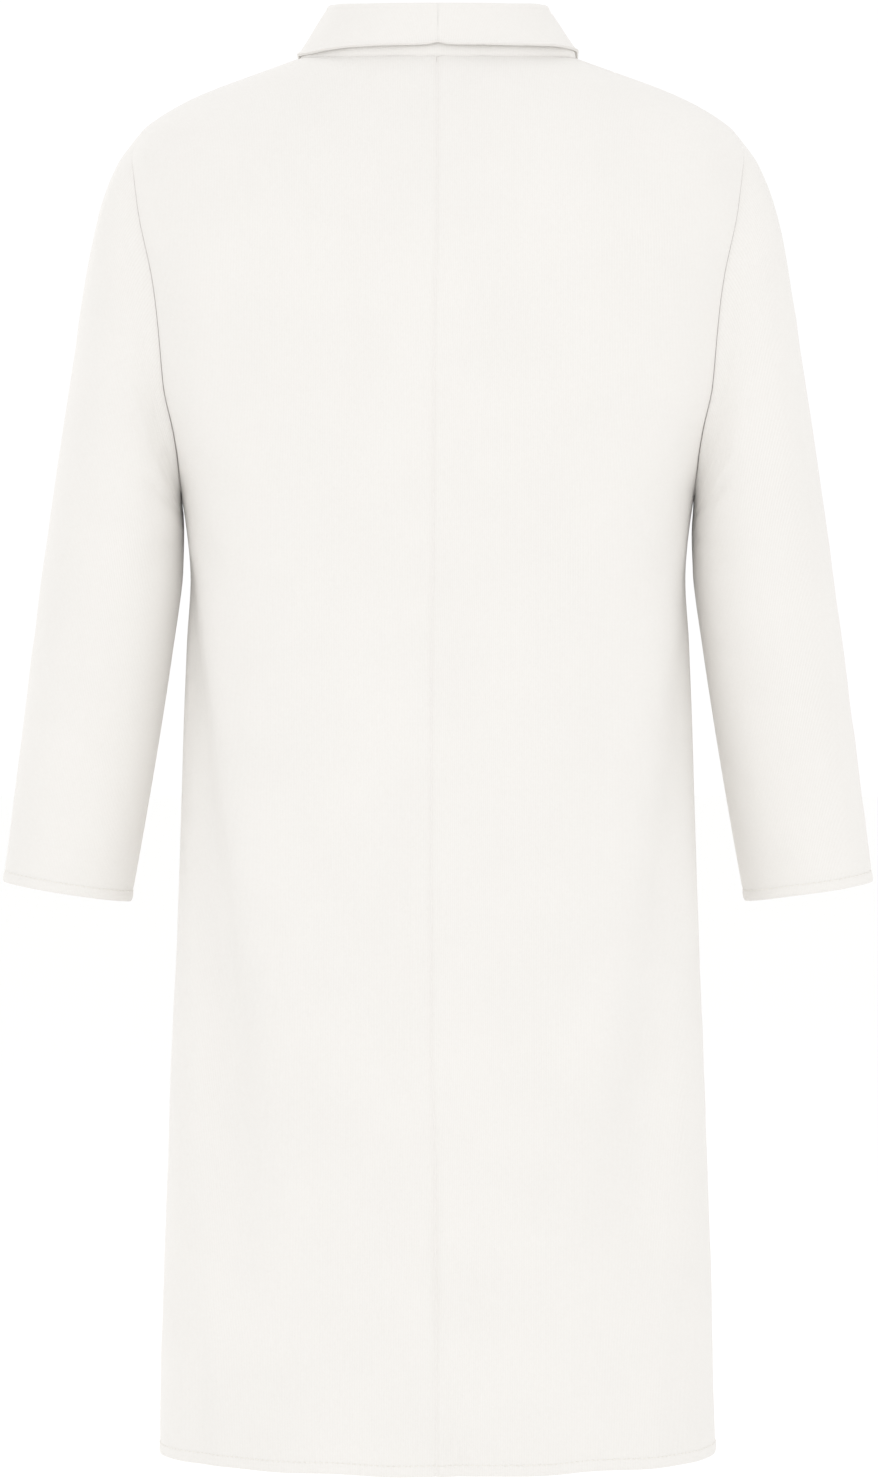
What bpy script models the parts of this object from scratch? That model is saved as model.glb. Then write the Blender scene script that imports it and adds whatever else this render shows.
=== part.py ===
"""Open front cardigan of coat length, as the closed cloth walls of its eight cut pieces.

Units are metres, +Z is up and the front of the garment faces -Y. The origin is the middle of the
neck opening, level with the tops of the shoulder seams, where a wearer's shoulders hold it up.
"""

import bisect
import math

import bmesh
import bpy
import numpy as np

NAME = "open_front_cardigan"
WALL = 0.002
CENTRE_GAP = 0.0004
SIDE_GAP = 0.0004
ARMHOLE_GAP = 0.0006
COLLAR_GAP = 0.0009

HEM_Z = -1.053
SHOULDER_TIP_Z = -0.052
ARMPIT_Z = -0.325
ARMHOLE_HALF_DEPTH = 0.058
NECK_BACK_Z = 0.003
FRONT_EDGE_TOP_Z = -0.055
FRONT_NECK_REACH = 0.0898
NECK_FADE_ROWS = 8.0
SHOULDER_ROWS = (0.004, -0.008, -0.020, -0.035)

# Each table gives a size in metres against the height z, from the hem up.
HALF_WIDTH = (
    (-1.075, 0.2080), (-0.925, 0.2045), (-0.800, 0.2008), (-0.680, 0.1985), (-0.560, 0.1955),
    (-0.440, 0.1930), (-0.380, 0.1890), (-0.325, 0.1925), (-0.300, 0.1995), (-0.279, 0.2070),
    (-0.241, 0.2210), (-0.165, 0.2320), (-0.109, 0.2385), (-0.076, 0.2370), (-0.052, 0.2240),
    (-0.043, 0.2135), (-0.030, 0.1920), (-0.020, 0.1700), (-0.011, 0.1460), (-0.002, 0.1210),
    (0.004, 0.1040), (0.012, 0.0800),
)
BACK_DEPTH = (
    (-1.075, 0.140), (-0.900, 0.137), (-0.700, 0.130), (-0.550, 0.122), (-0.420, 0.116),
    (-0.300, 0.120), (-0.200, 0.124), (-0.130, 0.121), (-0.080, 0.110), (-0.050, 0.098),
    (-0.020, 0.080), (0.000, 0.066), (0.012, 0.054),
)
FRONT_DEPTH = (
    (-1.075, 0.138), (-0.900, 0.134), (-0.700, 0.127), (-0.550, 0.121), (-0.420, 0.117),
    (-0.300, 0.122), (-0.220, 0.124), (-0.150, 0.118), (-0.100, 0.107), (-0.060, 0.094),
    (-0.030, 0.078), (0.000, 0.058), (0.012, 0.046),
)
ROUNDNESS = ((-1.075, 2.15), (-0.500, 2.30), (-0.100, 2.30), (0.000, 2.00), (0.012, 2.00))
FRONT_EDGE_X = ((-1.075, 0.064), (-0.600, 0.060), (-0.250, 0.058), (-0.055, 0.056))

# The soft trough that runs down from each armpit: its place round the quarter, and its depth.
TROUGH_PLACE = ((-1.075, 0.50), (-0.900, 0.56), (-0.700, 0.68), (-0.500, 0.82), (-0.380, 0.93))
TROUGH_DEPTH = ((-1.075, 0.002), (-0.900, 0.005), (-0.700, 0.008), (-0.480, 0.007), (-0.360, 0.0))
TROUGH_HALF_WIDTH = 0.13
FLARE_DEPTH = ((-1.075, 0.007), (-0.800, 0.005), (-0.550, 0.0), (-0.300, 0.0))

# Each table gives a point of the sleeve's outline, x then z, against the way along the sleeve.
SLEEVE_OUTER_X = (
    (0.00, 0.2246), (0.05, 0.2420), (0.11, 0.2545), (0.17, 0.2625), (0.24, 0.2690),
    (0.33, 0.2770), (0.42, 0.2870), (0.52, 0.2980), (0.64, 0.3065), (0.76, 0.3150),
    (0.88, 0.3238), (1.00, 0.3325),
)
SLEEVE_OUTER_Z = (
    (0.00, -0.0520), (0.05, -0.0750), (0.11, -0.1060), (0.17, -0.1390), (0.24, -0.1760),
    (0.33, -0.2300), (0.42, -0.2960), (0.52, -0.3700), (0.64, -0.4330), (0.76, -0.4960),
    (0.88, -0.5590), (1.00, -0.6210),
)
SLEEVE_INNER_X = (
    (0.00, 0.1931), (0.17, 0.1930), (0.33, 0.1925), (0.52, 0.1935), (0.64, 0.2020),
    (0.76, 0.2120), (0.88, 0.2230), (1.00, 0.2345),
)
SLEEVE_INNER_Z = (
    (0.00, -0.3250), (0.17, -0.3380), (0.33, -0.3530), (0.52, -0.3860), (0.64, -0.4480),
    (0.76, -0.5110), (0.88, -0.5740), (1.00, -0.6360),
)
SLEEVE_HALF_DEPTH = ((0.00, 0.058), (0.30, 0.061), (0.55, 0.058), (0.80, 0.049), (1.00, 0.040))
SLEEVE_FORWARD = ((0.00, 0.0), (0.50, 0.0), (0.76, 0.010), (1.00, 0.026))
SLEEVE_FACETS = 20
SLEEVE_ROWS = 16

STAND_HEIGHT = ((0.0, 0.0355), (0.5, 0.0355), (0.8, 0.031), (1.0, 0.026))
STAND_LEAN = ((0.0, 0.015), (0.25, 0.018), (0.5, 0.026), (0.8, 0.018), (1.0, 0.010))
FALL_DROP = ((0.0, 0.0275), (0.5, 0.0304), (0.8, 0.046), (1.0, 0.060))
FALL_SPREAD = ((0.0, 0.0115), (0.4, 0.0185), (0.5, 0.0220), (0.75, 0.0245), (1.0, 0.022))
ROLL_RADIUS = 0.0030
FALL_CLEAR = 0.0035
COLLAR_STATIONS = 13
SECTION_STEPS = (3, 4, 4)

OFF_WHITE = (0.92, 0.905, 0.87, 1.0)
KNIT_ROUGHNESS = 0.9


def table_value(table, place):
    """Smooth value of a table at a place, with no overshoot between its rows."""
    places = [row[0] for row in table]
    values = [row[1] for row in table]
    i = min(max(bisect.bisect_right(places, place) - 1, 0), len(table) - 2)
    width = places[i + 1] - places[i]
    t = (place - places[i]) / width
    if t < 0.0 or t > 1.0:
        return values[i] + (values[i + 1] - values[i]) * t
    start = table_slope(places, values, i)
    end = table_slope(places, values, i + 1)
    rise = values[i + 1] - values[i]
    cubic = t * t * (3.0 - 2.0 * t) * rise
    return values[i] + cubic + width * t * (1.0 - t) * ((1.0 - t) * start - t * end)


def table_slope(places, values, i):
    """Slope at one row: none at a turning point, and the gentler mean elsewhere."""
    if i == 0 or i == len(places) - 1:
        j = min(i, len(places) - 2)
        return (values[j + 1] - values[j]) / (places[j + 1] - places[j])
    before = (values[i] - values[i - 1]) / (places[i] - places[i - 1])
    after = (values[i + 1] - values[i]) / (places[i + 1] - places[i])
    if before * after <= 0.0:
        return 0.0
    return 2.0 * before * after / (before + after)


def radius_at(angle, z):
    """Distance from the middle to the body's face, at an angle from the centre back."""
    depth = table_value(BACK_DEPTH if math.cos(angle) > 0.0 else FRONT_DEPTH, z)
    power = table_value(ROUNDNESS, z)
    across = abs(math.sin(angle)) / table_value(HALF_WIDTH, z)
    along = abs(math.cos(angle)) / depth
    return (across**power + along**power) ** (-1.0 / power)


def height_at(angle, radius):
    """Height at which the body's face near the neck and shoulder is this far from the middle."""
    low, high = -0.12, 0.012
    for _ in range(24):
        middle = (low + high) / 2.0
        if radius_at(angle, middle) > radius:
            low = middle
        else:
            high = middle
    return low


def quarter(z, front):
    """Dense points of one quarter of the level ring at z, from the centre to the side."""
    angles = np.linspace(0.0, math.pi / 2.0, 61)
    if front:
        angles = math.pi - angles
    radii = np.array([radius_at(angle, z) for angle in angles])
    points = np.stack([radii * np.sin(angles), radii * np.cos(angles)], axis=1)
    steps = np.linalg.norm(np.diff(points, axis=0), axis=1)
    return points, np.concatenate([[0.0], np.cumsum(steps)])


def trough(place, z):
    """How far the soft folds move the body's face out, at a place from 0 centre to 1 side."""
    offset = (place - table_value(TROUGH_PLACE, z)) / TROUGH_HALF_WIDTH
    inward = table_value(TROUGH_DEPTH, z) * math.exp(-offset * offset)
    beyond = max(0.0, min(1.0, 0.5 + 0.6 * offset))
    side_fade = 1.0 - max(0.0, (place - 0.85) / 0.15) ** 2
    return table_value(FLARE_DEPTH, z) * beyond * max(side_fade, 0.0) - inward


def body_point(place, z, front):
    """Point of the body's outer face, at a place from 0 at the centre line to 1 at the side."""
    points, lengths = quarter(z, front)
    reach = place * lengths[-1]
    x = float(np.interp(reach, lengths, points[:, 0]))
    y = float(np.interp(reach, lengths, points[:, 1]))
    size = math.hypot(x, y)
    moved = trough(place, z) / size
    return np.array([x * (1.0 + moved), y * (1.0 + moved), z])


def place_of(z, front, axis, value):
    """Place round the quarter where the ring's x (axis 0) or depth (axis 1) has this value."""
    points, lengths = quarter(z, front)
    found = np.abs(points[:, axis])
    if axis == 1:
        return float(np.interp(value, found[::-1], lengths[::-1])) / lengths[-1]
    return float(np.interp(value, found, lengths)) / lengths[-1]


def armhole_height(turn):
    """Height on the armhole at a turn from 0 at the shoulder tip to pi at the armpit."""
    middle = (SHOULDER_TIP_Z + ARMPIT_Z) / 2.0
    return middle + (SHOULDER_TIP_Z - ARMPIT_Z) / 2.0 * math.cos(turn)


def armhole_place(z, front):
    """Place of the armhole's edge round the quarter at a height, 1 off the armhole."""
    if z >= SHOULDER_TIP_Z or z <= ARMPIT_Z:
        return 1.0
    middle = (SHOULDER_TIP_Z + ARMPIT_Z) / 2.0
    cosine = (z - middle) / ((SHOULDER_TIP_Z - ARMPIT_Z) / 2.0)
    depth = ARMHOLE_HALF_DEPTH * math.sqrt(max(0.0, 1.0 - cosine * cosine))
    return place_of(z, front, 1, depth)


def side_rows(low_rows):
    """Heights of a panel's rows along its side: shoulder seam, armhole, side seam."""
    half = SLEEVE_FACETS // 2
    rows = list(SHOULDER_ROWS)
    rows += [armhole_height(math.pi * i / half) for i in range(half + 1)]
    step = (HEM_Z - ARMPIT_Z) / low_rows
    return rows + [ARMPIT_Z + step * (i + 1) for i in range(low_rows)]


def centre_rows(top, low_rows):
    """Heights of a panel's rows along its centre edge, evenly spaced down to the armpit."""
    high = len(SHOULDER_ROWS) + SLEEVE_FACETS // 2
    rows = [top + (ARMPIT_Z - top) * i / high for i in range(high + 1)]
    step = (HEM_Z - ARMPIT_Z) / low_rows
    return rows + [ARMPIT_Z + step * (i + 1) for i in range(low_rows)]


def front_neck_spot(across):
    """Place and height of the front's neck seam, from 0 at the front edge to 1 at the shoulder."""
    turn = (1.0 - across) * math.pi / 2.0
    edge_x = table_value(FRONT_EDGE_X, FRONT_EDGE_TOP_Z)
    neck_x = table_value(HALF_WIDTH, SHOULDER_ROWS[0])
    x = edge_x + (neck_x - edge_x) * math.cos(turn)
    y = FRONT_NECK_REACH * math.sin(turn)
    z = height_at(math.pi - math.atan2(x, y), math.hypot(x, y))
    return place_of(z, True, *((1, y) if across > 0.5 else (0, x))), z


def panel_spot(across, row, front, sides, centres):
    """Place and height on the body for a panel's grid spot, across from 0 centre to 1 side."""
    low = min(int(row), len(sides) - 2)
    part = row - low
    side = sides[low] + (sides[low + 1] - sides[low]) * part
    centre = centres[low] + (centres[low + 1] - centres[low]) * part
    eased = across * across * (3.0 - 2.0 * across)
    z = centre + (side - centre) * eased
    outer = armhole_place(side, front)
    if not front:
        return outer * across, z
    inner = place_of(z, True, 0, table_value(FRONT_EDGE_X, z))
    place = inner + (outer - inner) * across
    fade = max(0.0, 1.0 - row / NECK_FADE_ROWS)
    if fade == 0.0:
        return place, z
    top_place, top_z = front_neck_spot(across)
    first_z = centres[0] + (sides[0] - centres[0]) * eased
    first_inner = place_of(first_z, True, 0, table_value(FRONT_EDGE_X, first_z))
    first_place = first_inner + (1.0 - first_inner) * across
    return place + (top_place - first_place) * fade, z + (top_z - first_z) * fade


def shell_point(point_at, a, b, depth, step_a, step_b):
    """Point at depth under a surface, along its own normal; point_at takes the two places."""
    here = point_at(a, b)
    if depth == 0.0:
        return here
    along_a = point_at(a + step_a, b) - point_at(a - step_a, b)
    along_b = point_at(a, b + step_b) - point_at(a, b - step_b)
    normal = np.cross(along_a, along_b)
    return here - normal * (depth / np.linalg.norm(normal))


def body_shell_point(place, z, front, depth):
    """Point of the body's wall, depth inside its outer face."""
    turn = -1.0 if front else 1.0
    return shell_point(
        lambda a, b: body_point(a, b, front), place, z, depth, -0.004 * turn, 0.004
    )


def finish(bm, name, material):
    """Turn a built mesh into a named object with outward faces."""
    bmesh.ops.recalc_face_normals(bm, faces=bm.faces[:])
    if bm.calc_volume(signed=True) < 0.0:
        bmesh.ops.reverse_faces(bm, faces=bm.faces[:])
    mesh = bpy.data.meshes.new(name)
    bm.to_mesh(mesh)
    bm.free()
    for face in mesh.polygons:
        face.use_smooth = True
    mesh.materials.append(material)
    thing = bpy.data.objects.new(name, mesh)
    bpy.data.collections[NAME].objects.link(thing)


def walled(bm):
    """Extrude a sheet's faces, so that it has an outer layer and an inner one. Gives the inner."""
    made = bmesh.ops.extrude_face_region(bm, geom=bm.faces[:])
    return {part for part in made["geom"] if isinstance(part, bmesh.types.BMVert)}


def add_panel(name, side, front, columns, low_rows, material):
    """One front or back panel, from the neck and shoulder seam to the hem."""
    sides = side_rows(low_rows)
    centres = centre_rows(FRONT_EDGE_TOP_Z if front else NECK_BACK_Z, low_rows)
    rows = len(sides) - 1
    bm = bmesh.new()
    bmesh.ops.create_grid(bm, x_segments=columns, y_segments=rows, size=0.5)
    inner = walled(bm)
    for vert in bm.verts:
        across = vert.co.x + 0.5
        row = round((0.5 - vert.co.y) * rows)
        place, z = panel_spot(across, row, front, sides, centres)
        depth = WALL if vert in inner else 0.0
        x, y, z = body_shell_point(place, z, front, depth)
        if across < 1e-6 and not front:
            x = CENTRE_GAP / 2.0
        if across > 1.0 - 1e-6 and (z > SHOULDER_TIP_Z - 0.004 or z < ARMPIT_Z + 0.0005):
            y = math.copysign(max(abs(y), SIDE_GAP / 2.0), -1.0 if front else 1.0)
        vert.co = (side * x, y, z)
    finish(bm, name, material)


def armhole_point(turn):
    """Point of the armhole's edge on the body, at a turn from 0 shoulder tip by the back."""
    front = math.sin(turn) < 0.0
    height = armhole_height(math.acos(max(-1.0, min(1.0, math.cos(turn)))))
    return body_point(armhole_place(height, front), height, front)


def sleeve_point(turn, along):
    """Point of the sleeve's outer face, at a turn round it and a way along it, 0 to 1."""
    way = max(along, 0.0)
    outer = np.array([table_value(SLEEVE_OUTER_X, way), 0.0, table_value(SLEEVE_OUTER_Z, way)])
    inner = np.array([table_value(SLEEVE_INNER_X, way), 0.0, table_value(SLEEVE_INNER_Z, way)])
    forward = table_value(SLEEVE_FORWARD, way)
    depth = table_value(SLEEVE_HALF_DEPTH, way)
    ring = (outer + inner) / 2.0 + (outer - inner) / 2.0 * math.cos(turn)
    ring[1] = depth * math.sin(turn) - forward
    fade = max(0.0, 1.0 - way / 0.45) ** 2
    start = armhole_point(turn) + np.array([ARMHOLE_GAP, 0.0, 0.0])
    straight = np.array([start[0], depth * math.sin(turn), start[2]])
    first_outer = np.array([SLEEVE_OUTER_X[0][1], SLEEVE_OUTER_Z[0][1]])
    first_inner = np.array([SLEEVE_INNER_X[0][1], SLEEVE_INNER_Z[0][1]])
    flat = (first_outer + first_inner) / 2.0 + (first_outer - first_inner) / 2.0 * math.cos(turn)
    ring[0] += (straight[0] - flat[0]) * fade
    ring[1] += (start[1] - straight[1]) * fade
    ring[2] += (straight[2] - flat[1]) * fade
    return ring


def add_sleeve(name, side, material):
    """One sleeve, a tube from the armhole to the open cuff."""
    bm = bmesh.new()
    bmesh.ops.create_cone(
        bm, cap_ends=False, segments=SLEEVE_FACETS, radius1=1.0, radius2=1.0, depth=1.0
    )
    lengthwise = [edge for edge in bm.edges if abs(edge.verts[0].co.z - edge.verts[1].co.z) > 0.5]
    bmesh.ops.subdivide_edges(bm, edges=lengthwise, cuts=SLEEVE_ROWS - 1, use_grid_fill=True)
    inner = walled(bm)
    for vert in bm.verts:
        turn = math.atan2(vert.co.y, vert.co.x)
        turn = round(turn / math.tau * SLEEVE_FACETS) * math.tau / SLEEVE_FACETS
        along = round((0.5 - vert.co.z) * SLEEVE_ROWS) / SLEEVE_ROWS
        depth = WALL if vert in inner else 0.0
        x, y, z = shell_point(sleeve_point, turn, along, depth, -0.02, 0.01)
        vert.co = (side * x, y, z)
    finish(bm, name, material)


def neckline_point(way):
    """Point of the neck seam at a way from 0 at the centre back to 1 at the front edge's top."""
    front = way > 0.5
    across = 2.0 * (1.0 - way) if front else 2.0 * way
    sides = side_rows(1)
    centres = centre_rows(FRONT_EDGE_TOP_Z if front else NECK_BACK_Z, 1)
    place, z = panel_spot(across, 0, front, sides, centres)
    return body_point(place, z, front)


def section_line(way):
    """The collar's section as (out, up) points from the neck seam over the roll to the edge."""
    height = table_value(STAND_HEIGHT, way)
    lean = table_value(STAND_LEAN, way)
    drop = table_value(FALL_DROP, way)
    spread = table_value(FALL_SPREAD, way)
    stand, roll, fall = SECTION_STEPS
    line = [(-lean * (i / stand) ** 1.6, height * i / stand) for i in range(stand)]
    for i in range(roll + 1):
        turn = math.pi * (1.0 - i / roll)
        out = -lean + ROLL_RADIUS + ROLL_RADIUS * math.cos(turn)
        line.append((out, height + ROLL_RADIUS * math.sin(turn)))
    for i in range(1, fall + 1):
        part = i / fall
        out = -lean + 2.0 * ROLL_RADIUS + spread * part
        line.append((out, height - drop * part))
    return line


def collar_point(way, step, offset):
    """Point of the collar at a way along it and a step of its section, offset outward."""
    line = section_line(way)
    seam = neckline_point(way)
    before = np.array(line[max(step - 1, 0)])
    after = np.array(line[min(step + 1, len(line) - 1)])
    tangent = (after - before) / np.linalg.norm(after - before)
    if step == 0:
        tangent = np.array([0.0, 1.0])
    out, up = np.array(line[step]) + offset * np.array([tangent[1], -tangent[0]])
    angle = math.atan2(seam[0], seam[1])
    radius = math.hypot(seam[0], seam[1]) - WALL / 2.0 + out
    z = seam[2] + COLLAR_GAP + up
    if step > SECTION_STEPS[0] + SECTION_STEPS[1]:
        z = max(z, height_at(angle, radius - FALL_CLEAR) + 0.001)
    return np.array([radius * math.sin(angle), radius * math.cos(angle), z])


def add_collar(name, side, material):
    """One half of the collar: stand, roll and fall, from the centre back to the front edge."""
    steps = sum(SECTION_STEPS)
    bm = bmesh.new()
    bmesh.ops.create_grid(bm, x_segments=COLLAR_STATIONS, y_segments=steps, size=0.5)
    inner = walled(bm)
    for vert in bm.verts:
        way = vert.co.x + 0.5
        step = round((vert.co.y + 0.5) * steps)
        offset = WALL / 2.0 if vert in inner else -WALL / 2.0
        x, y, z = collar_point(way, step, offset)
        if way < 1e-6:
            x = CENTRE_GAP / 2.0
        vert.co = (side * x, y, z)
    finish(bm, name, material)


def make_material(name, colour, roughness):
    """A plain Principled material."""
    material = bpy.data.materials.new(name)
    material.use_nodes = True
    shader = material.node_tree.nodes["Principled BSDF"]
    shader.inputs["Base Color"].default_value = colour
    shader.inputs["Roughness"].default_value = roughness
    shader.inputs["Metallic"].default_value = 0.0
    return material


def clear_scene():
    """Remove everything that Blender starts with."""
    for thing in list(bpy.data.objects):
        bpy.data.objects.remove(thing, do_unlink=True)
    bpy.context.scene.collection.children.link(bpy.data.collections.new(NAME))


def main():
    """Build the eight pieces."""
    clear_scene()
    for word, side in (("left", 1.0), ("right", -1.0)):
        for piece in ("back", "front", "sleeve", "collar"):
            material = make_material(f"{piece}_{word}_knit", OFF_WHITE, KNIT_ROUGHNESS)
            name = f"{piece}_{word}"
            if piece == "sleeve":
                add_sleeve(name, side, material)
            elif piece == "collar":
                add_collar(name, side, material)
            else:
                columns = 12 if piece == "back" else 9
                add_panel(name, side, piece == "front", columns, 13, material)


if __name__ == "__main__":
    main()
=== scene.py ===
"""Looks of a coat-length open front cardigan, filled out and empty inside, in off-white knit.

Every cut piece is a thin knitted shell on the form of its own solid, with its seams, turned hems,
stitching and soft folds. Sizes are in metres, +Z is up and the front of the garment faces -Y. The
origin is the middle of the neck opening, level with the tops of the shoulder seams.
"""

import logging
import math
from collections.abc import Sequence
from dataclasses import dataclass, field
from enum import Enum
from typing import Any

import bpy
import numpy as np
from mathutils import Matrix, Vector

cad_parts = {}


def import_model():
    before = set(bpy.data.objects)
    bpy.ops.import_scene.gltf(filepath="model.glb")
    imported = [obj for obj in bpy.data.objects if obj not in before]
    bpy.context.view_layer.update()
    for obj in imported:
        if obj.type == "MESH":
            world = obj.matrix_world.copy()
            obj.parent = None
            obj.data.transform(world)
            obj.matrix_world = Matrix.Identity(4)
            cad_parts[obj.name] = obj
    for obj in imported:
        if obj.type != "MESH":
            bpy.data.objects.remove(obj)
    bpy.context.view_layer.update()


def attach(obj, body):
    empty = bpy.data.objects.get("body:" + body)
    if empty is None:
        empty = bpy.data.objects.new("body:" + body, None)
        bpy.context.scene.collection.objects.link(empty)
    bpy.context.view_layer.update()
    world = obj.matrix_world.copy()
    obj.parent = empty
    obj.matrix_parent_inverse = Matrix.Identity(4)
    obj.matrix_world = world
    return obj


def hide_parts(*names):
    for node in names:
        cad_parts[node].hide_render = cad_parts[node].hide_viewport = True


LOG = logging.getLogger("cardigan")
Array = np.ndarray
Rows = tuple[tuple[float, float], ...]

WALL = 0.002
HEM_Z = -1.053
SHOULDER_TIP_Z = -0.052
ARMPIT_Z = -0.325
ARMHOLE_HALF_DEPTH = 0.058
NECK_BACK_Z = 0.003
FRONT_EDGE_TOP_Z = -0.055
FRONT_NECK_REACH = 0.0898
ARMHOLE_FIRST_ROW = 4.0
ARMPIT_ROW = 14.0
HEM_ROW = 27.0
SEAM_GAP = 0.0001
# A seam holds the cloth still, and its folds and unevenness grow back over this way.
SEAM_EASE = 0.016
HEM_TURN = 0.0085
HEM_WAVE_REACH = 0.05
HEM_WAVE_CELL = 0.045
# Height and cell of the cloth's soft unevenness, from broad to fine.
UNEVENNESS = ((0.0008, 0.085), (0.0003, 0.024), (0.00008, 0.0065))


class Side(Enum):
    """Which side of the wearer a piece is on."""

    LEFT = 1
    RIGHT = -1

    @property
    def word(self) -> str:
        """The side's name in a piece's name."""
        return self.name.lower()


class Face(Enum):
    """Whether a body panel is at the back or at the front."""

    BACK = "back"
    FRONT = "front"


class Held(Enum):
    """How a cloth piece is held in the finished garment."""

    HUNG = "hung"
    FOLDED = "folded"


class Edge(Enum):
    """How a cloth piece's edge is finished, with the depth that its line sinks, in metres."""

    CENTRE_SEAM = 0.00080
    ARMHOLE_SEAM = 0.00026
    FLAT_SEAM = 0.00012
    TURNED = 0.00060


@dataclass(frozen=True)
class SmoothTable:
    """A size that changes smoothly along the garment, as rows of (place, value)."""

    rows: Rows

    def at(self, places: Array | float) -> Array:
        """Read the table between its rows, with no overshoot.

        Args:
            places: Where to read it.

        Returns:
            The value at each place.
        """
        xs = np.array([row[0] for row in self.rows])
        ys = np.array([row[1] for row in self.rows])
        asked = np.asarray(places, dtype=float)
        i = np.clip(np.searchsorted(xs, asked, side="right") - 1, 0, len(xs) - 2)
        width, rise = xs[i + 1] - xs[i], ys[i + 1] - ys[i]
        t = (asked - xs[i]) / width
        slope = self._slopes(xs, ys)
        bend = width * t * (1.0 - t) * ((1.0 - t) * slope[i] - t * slope[i + 1])
        inside = ys[i] + t * t * (3.0 - 2.0 * t) * rise + bend
        return np.where((t < 0.0) | (t > 1.0), ys[i] + rise * t, inside)

    @staticmethod
    def _slopes(xs: Array, ys: Array) -> Array:
        """Give the slope at each row, none where the size turns back.

        Args:
            xs: The rows' places.
            ys: The rows' values.

        Returns:
            One slope a row.
        """
        steps = np.diff(ys) / np.diff(xs)
        before, after = steps[:-1], steps[1:]
        total = np.where(before + after == 0.0, 1.0, before + after)
        middle = np.where(before * after > 0.0, 2.0 * before * after / total, 0.0)
        return np.concatenate([steps[:1], middle, steps[-1:]])


@dataclass(frozen=True)
class SoftNoise:
    """Smooth seeded unevenness of the cloth, between -1 and 1."""

    seed: int
    cell: float

    def at(self, a: Array, b: Array) -> Array:
        """Read the unevenness at places on the cloth.

        Args:
            a: Way across the cloth, in metres.
            b: Way along the cloth, in metres.

        Returns:
            The unevenness at each place.
        """
        lattice = np.random.default_rng(self.seed).uniform(-1.0, 1.0, (64, 64))
        x, y = np.asarray(a) / self.cell + 7.3, np.asarray(b) / self.cell + 31.7
        i, j = np.floor(x).astype(int), np.floor(y).astype(int)
        fx, fy = x - i, y - j
        sx, sy = fx * fx * (3.0 - 2.0 * fx), fy * fy * (3.0 - 2.0 * fy)
        i0, i1, j0, j1 = i % 64, (i + 1) % 64, j % 64, (j + 1) % 64
        low = lattice[i0, j0] * (1.0 - sx) + lattice[i1, j0] * sx
        high = lattice[i0, j1] * (1.0 - sx) + lattice[i1, j1] * sx
        return low * (1.0 - sy) + high * sy


@dataclass(frozen=True)
class Crease:
    """A soft trough along a line on the cloth; a negative depth makes it a ridge."""

    path: tuple[tuple[float, float], ...]
    depth: float
    half_width: float

    def press(self, a: Array, b: Array) -> Array:
        """Say how deep the crease presses at places on the cloth.

        Args:
            a: Way across the cloth, in metres.
            b: Way along the cloth, in metres.

        Returns:
            The depth at each place, fading to nothing at both ends.
        """
        points = np.array(self.path)
        steps = np.linalg.norm(np.diff(points, axis=0), axis=1)
        ways = np.concatenate([[0.0], np.cumsum(steps)]) / steps.sum()
        nearest = np.full(np.shape(a), np.inf)
        along = np.zeros(np.shape(a))
        for k, length in enumerate(steps):
            line = points[k + 1] - points[k]
            raw = ((a - points[k, 0]) * line[0] + (b - points[k, 1]) * line[1]) / length**2
            t = np.clip(raw, 0.0, 1.0)
            gap = np.hypot(a - points[k, 0] - t * line[0], b - points[k, 1] - t * line[1])
            closer = gap < nearest
            nearest = np.where(closer, gap, nearest)
            along = np.where(closer, ways[k] + (ways[k + 1] - ways[k]) * t, along)
        fade = np.sin(np.pi * np.clip(along, 0.0, 1.0)) ** 0.7
        return self.depth * fade * np.exp(-((nearest / self.half_width) ** 2))


def linear_colour(code: str) -> tuple[float, float, float, float]:
    """Turn an sRGB hex value into the linear colour that a shader takes.

    Args:
        code: Six hex digits.

    Returns:
        Linear red, green, blue and alpha.
    """
    parts = [int(code[i : i + 2], 16) / 255.0 for i in (0, 2, 4)]
    low = [part / 12.92 for part in parts]
    high = [((part + 0.055) / 1.055) ** 2.4 for part in parts]
    red, green, blue = (a if p <= 0.04045 else b for p, a, b in zip(parts, low, high))
    return (red, green, blue, 1.0)


def add_node(tree: Any, kind: str, settings: dict[Any, Any], links: dict[Any, Any]) -> Any:
    """Add one shader node with its settings and its links.

    Args:
        tree: The material's node tree.
        kind: The node's type.
        settings: Socket values and properties, by name or by socket number.
        links: Source sockets, by the name or number of the socket that they feed.

    Returns:
        The new node.
    """
    node = tree.nodes.new(kind)
    for key, value in settings.items():
        if isinstance(key, int) or key in node.inputs:
            node.inputs[key].default_value = value
        else:
            setattr(node, key, value)
    for key, source in links.items():
        tree.links.new(source, node.inputs[key])
    return node


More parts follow.
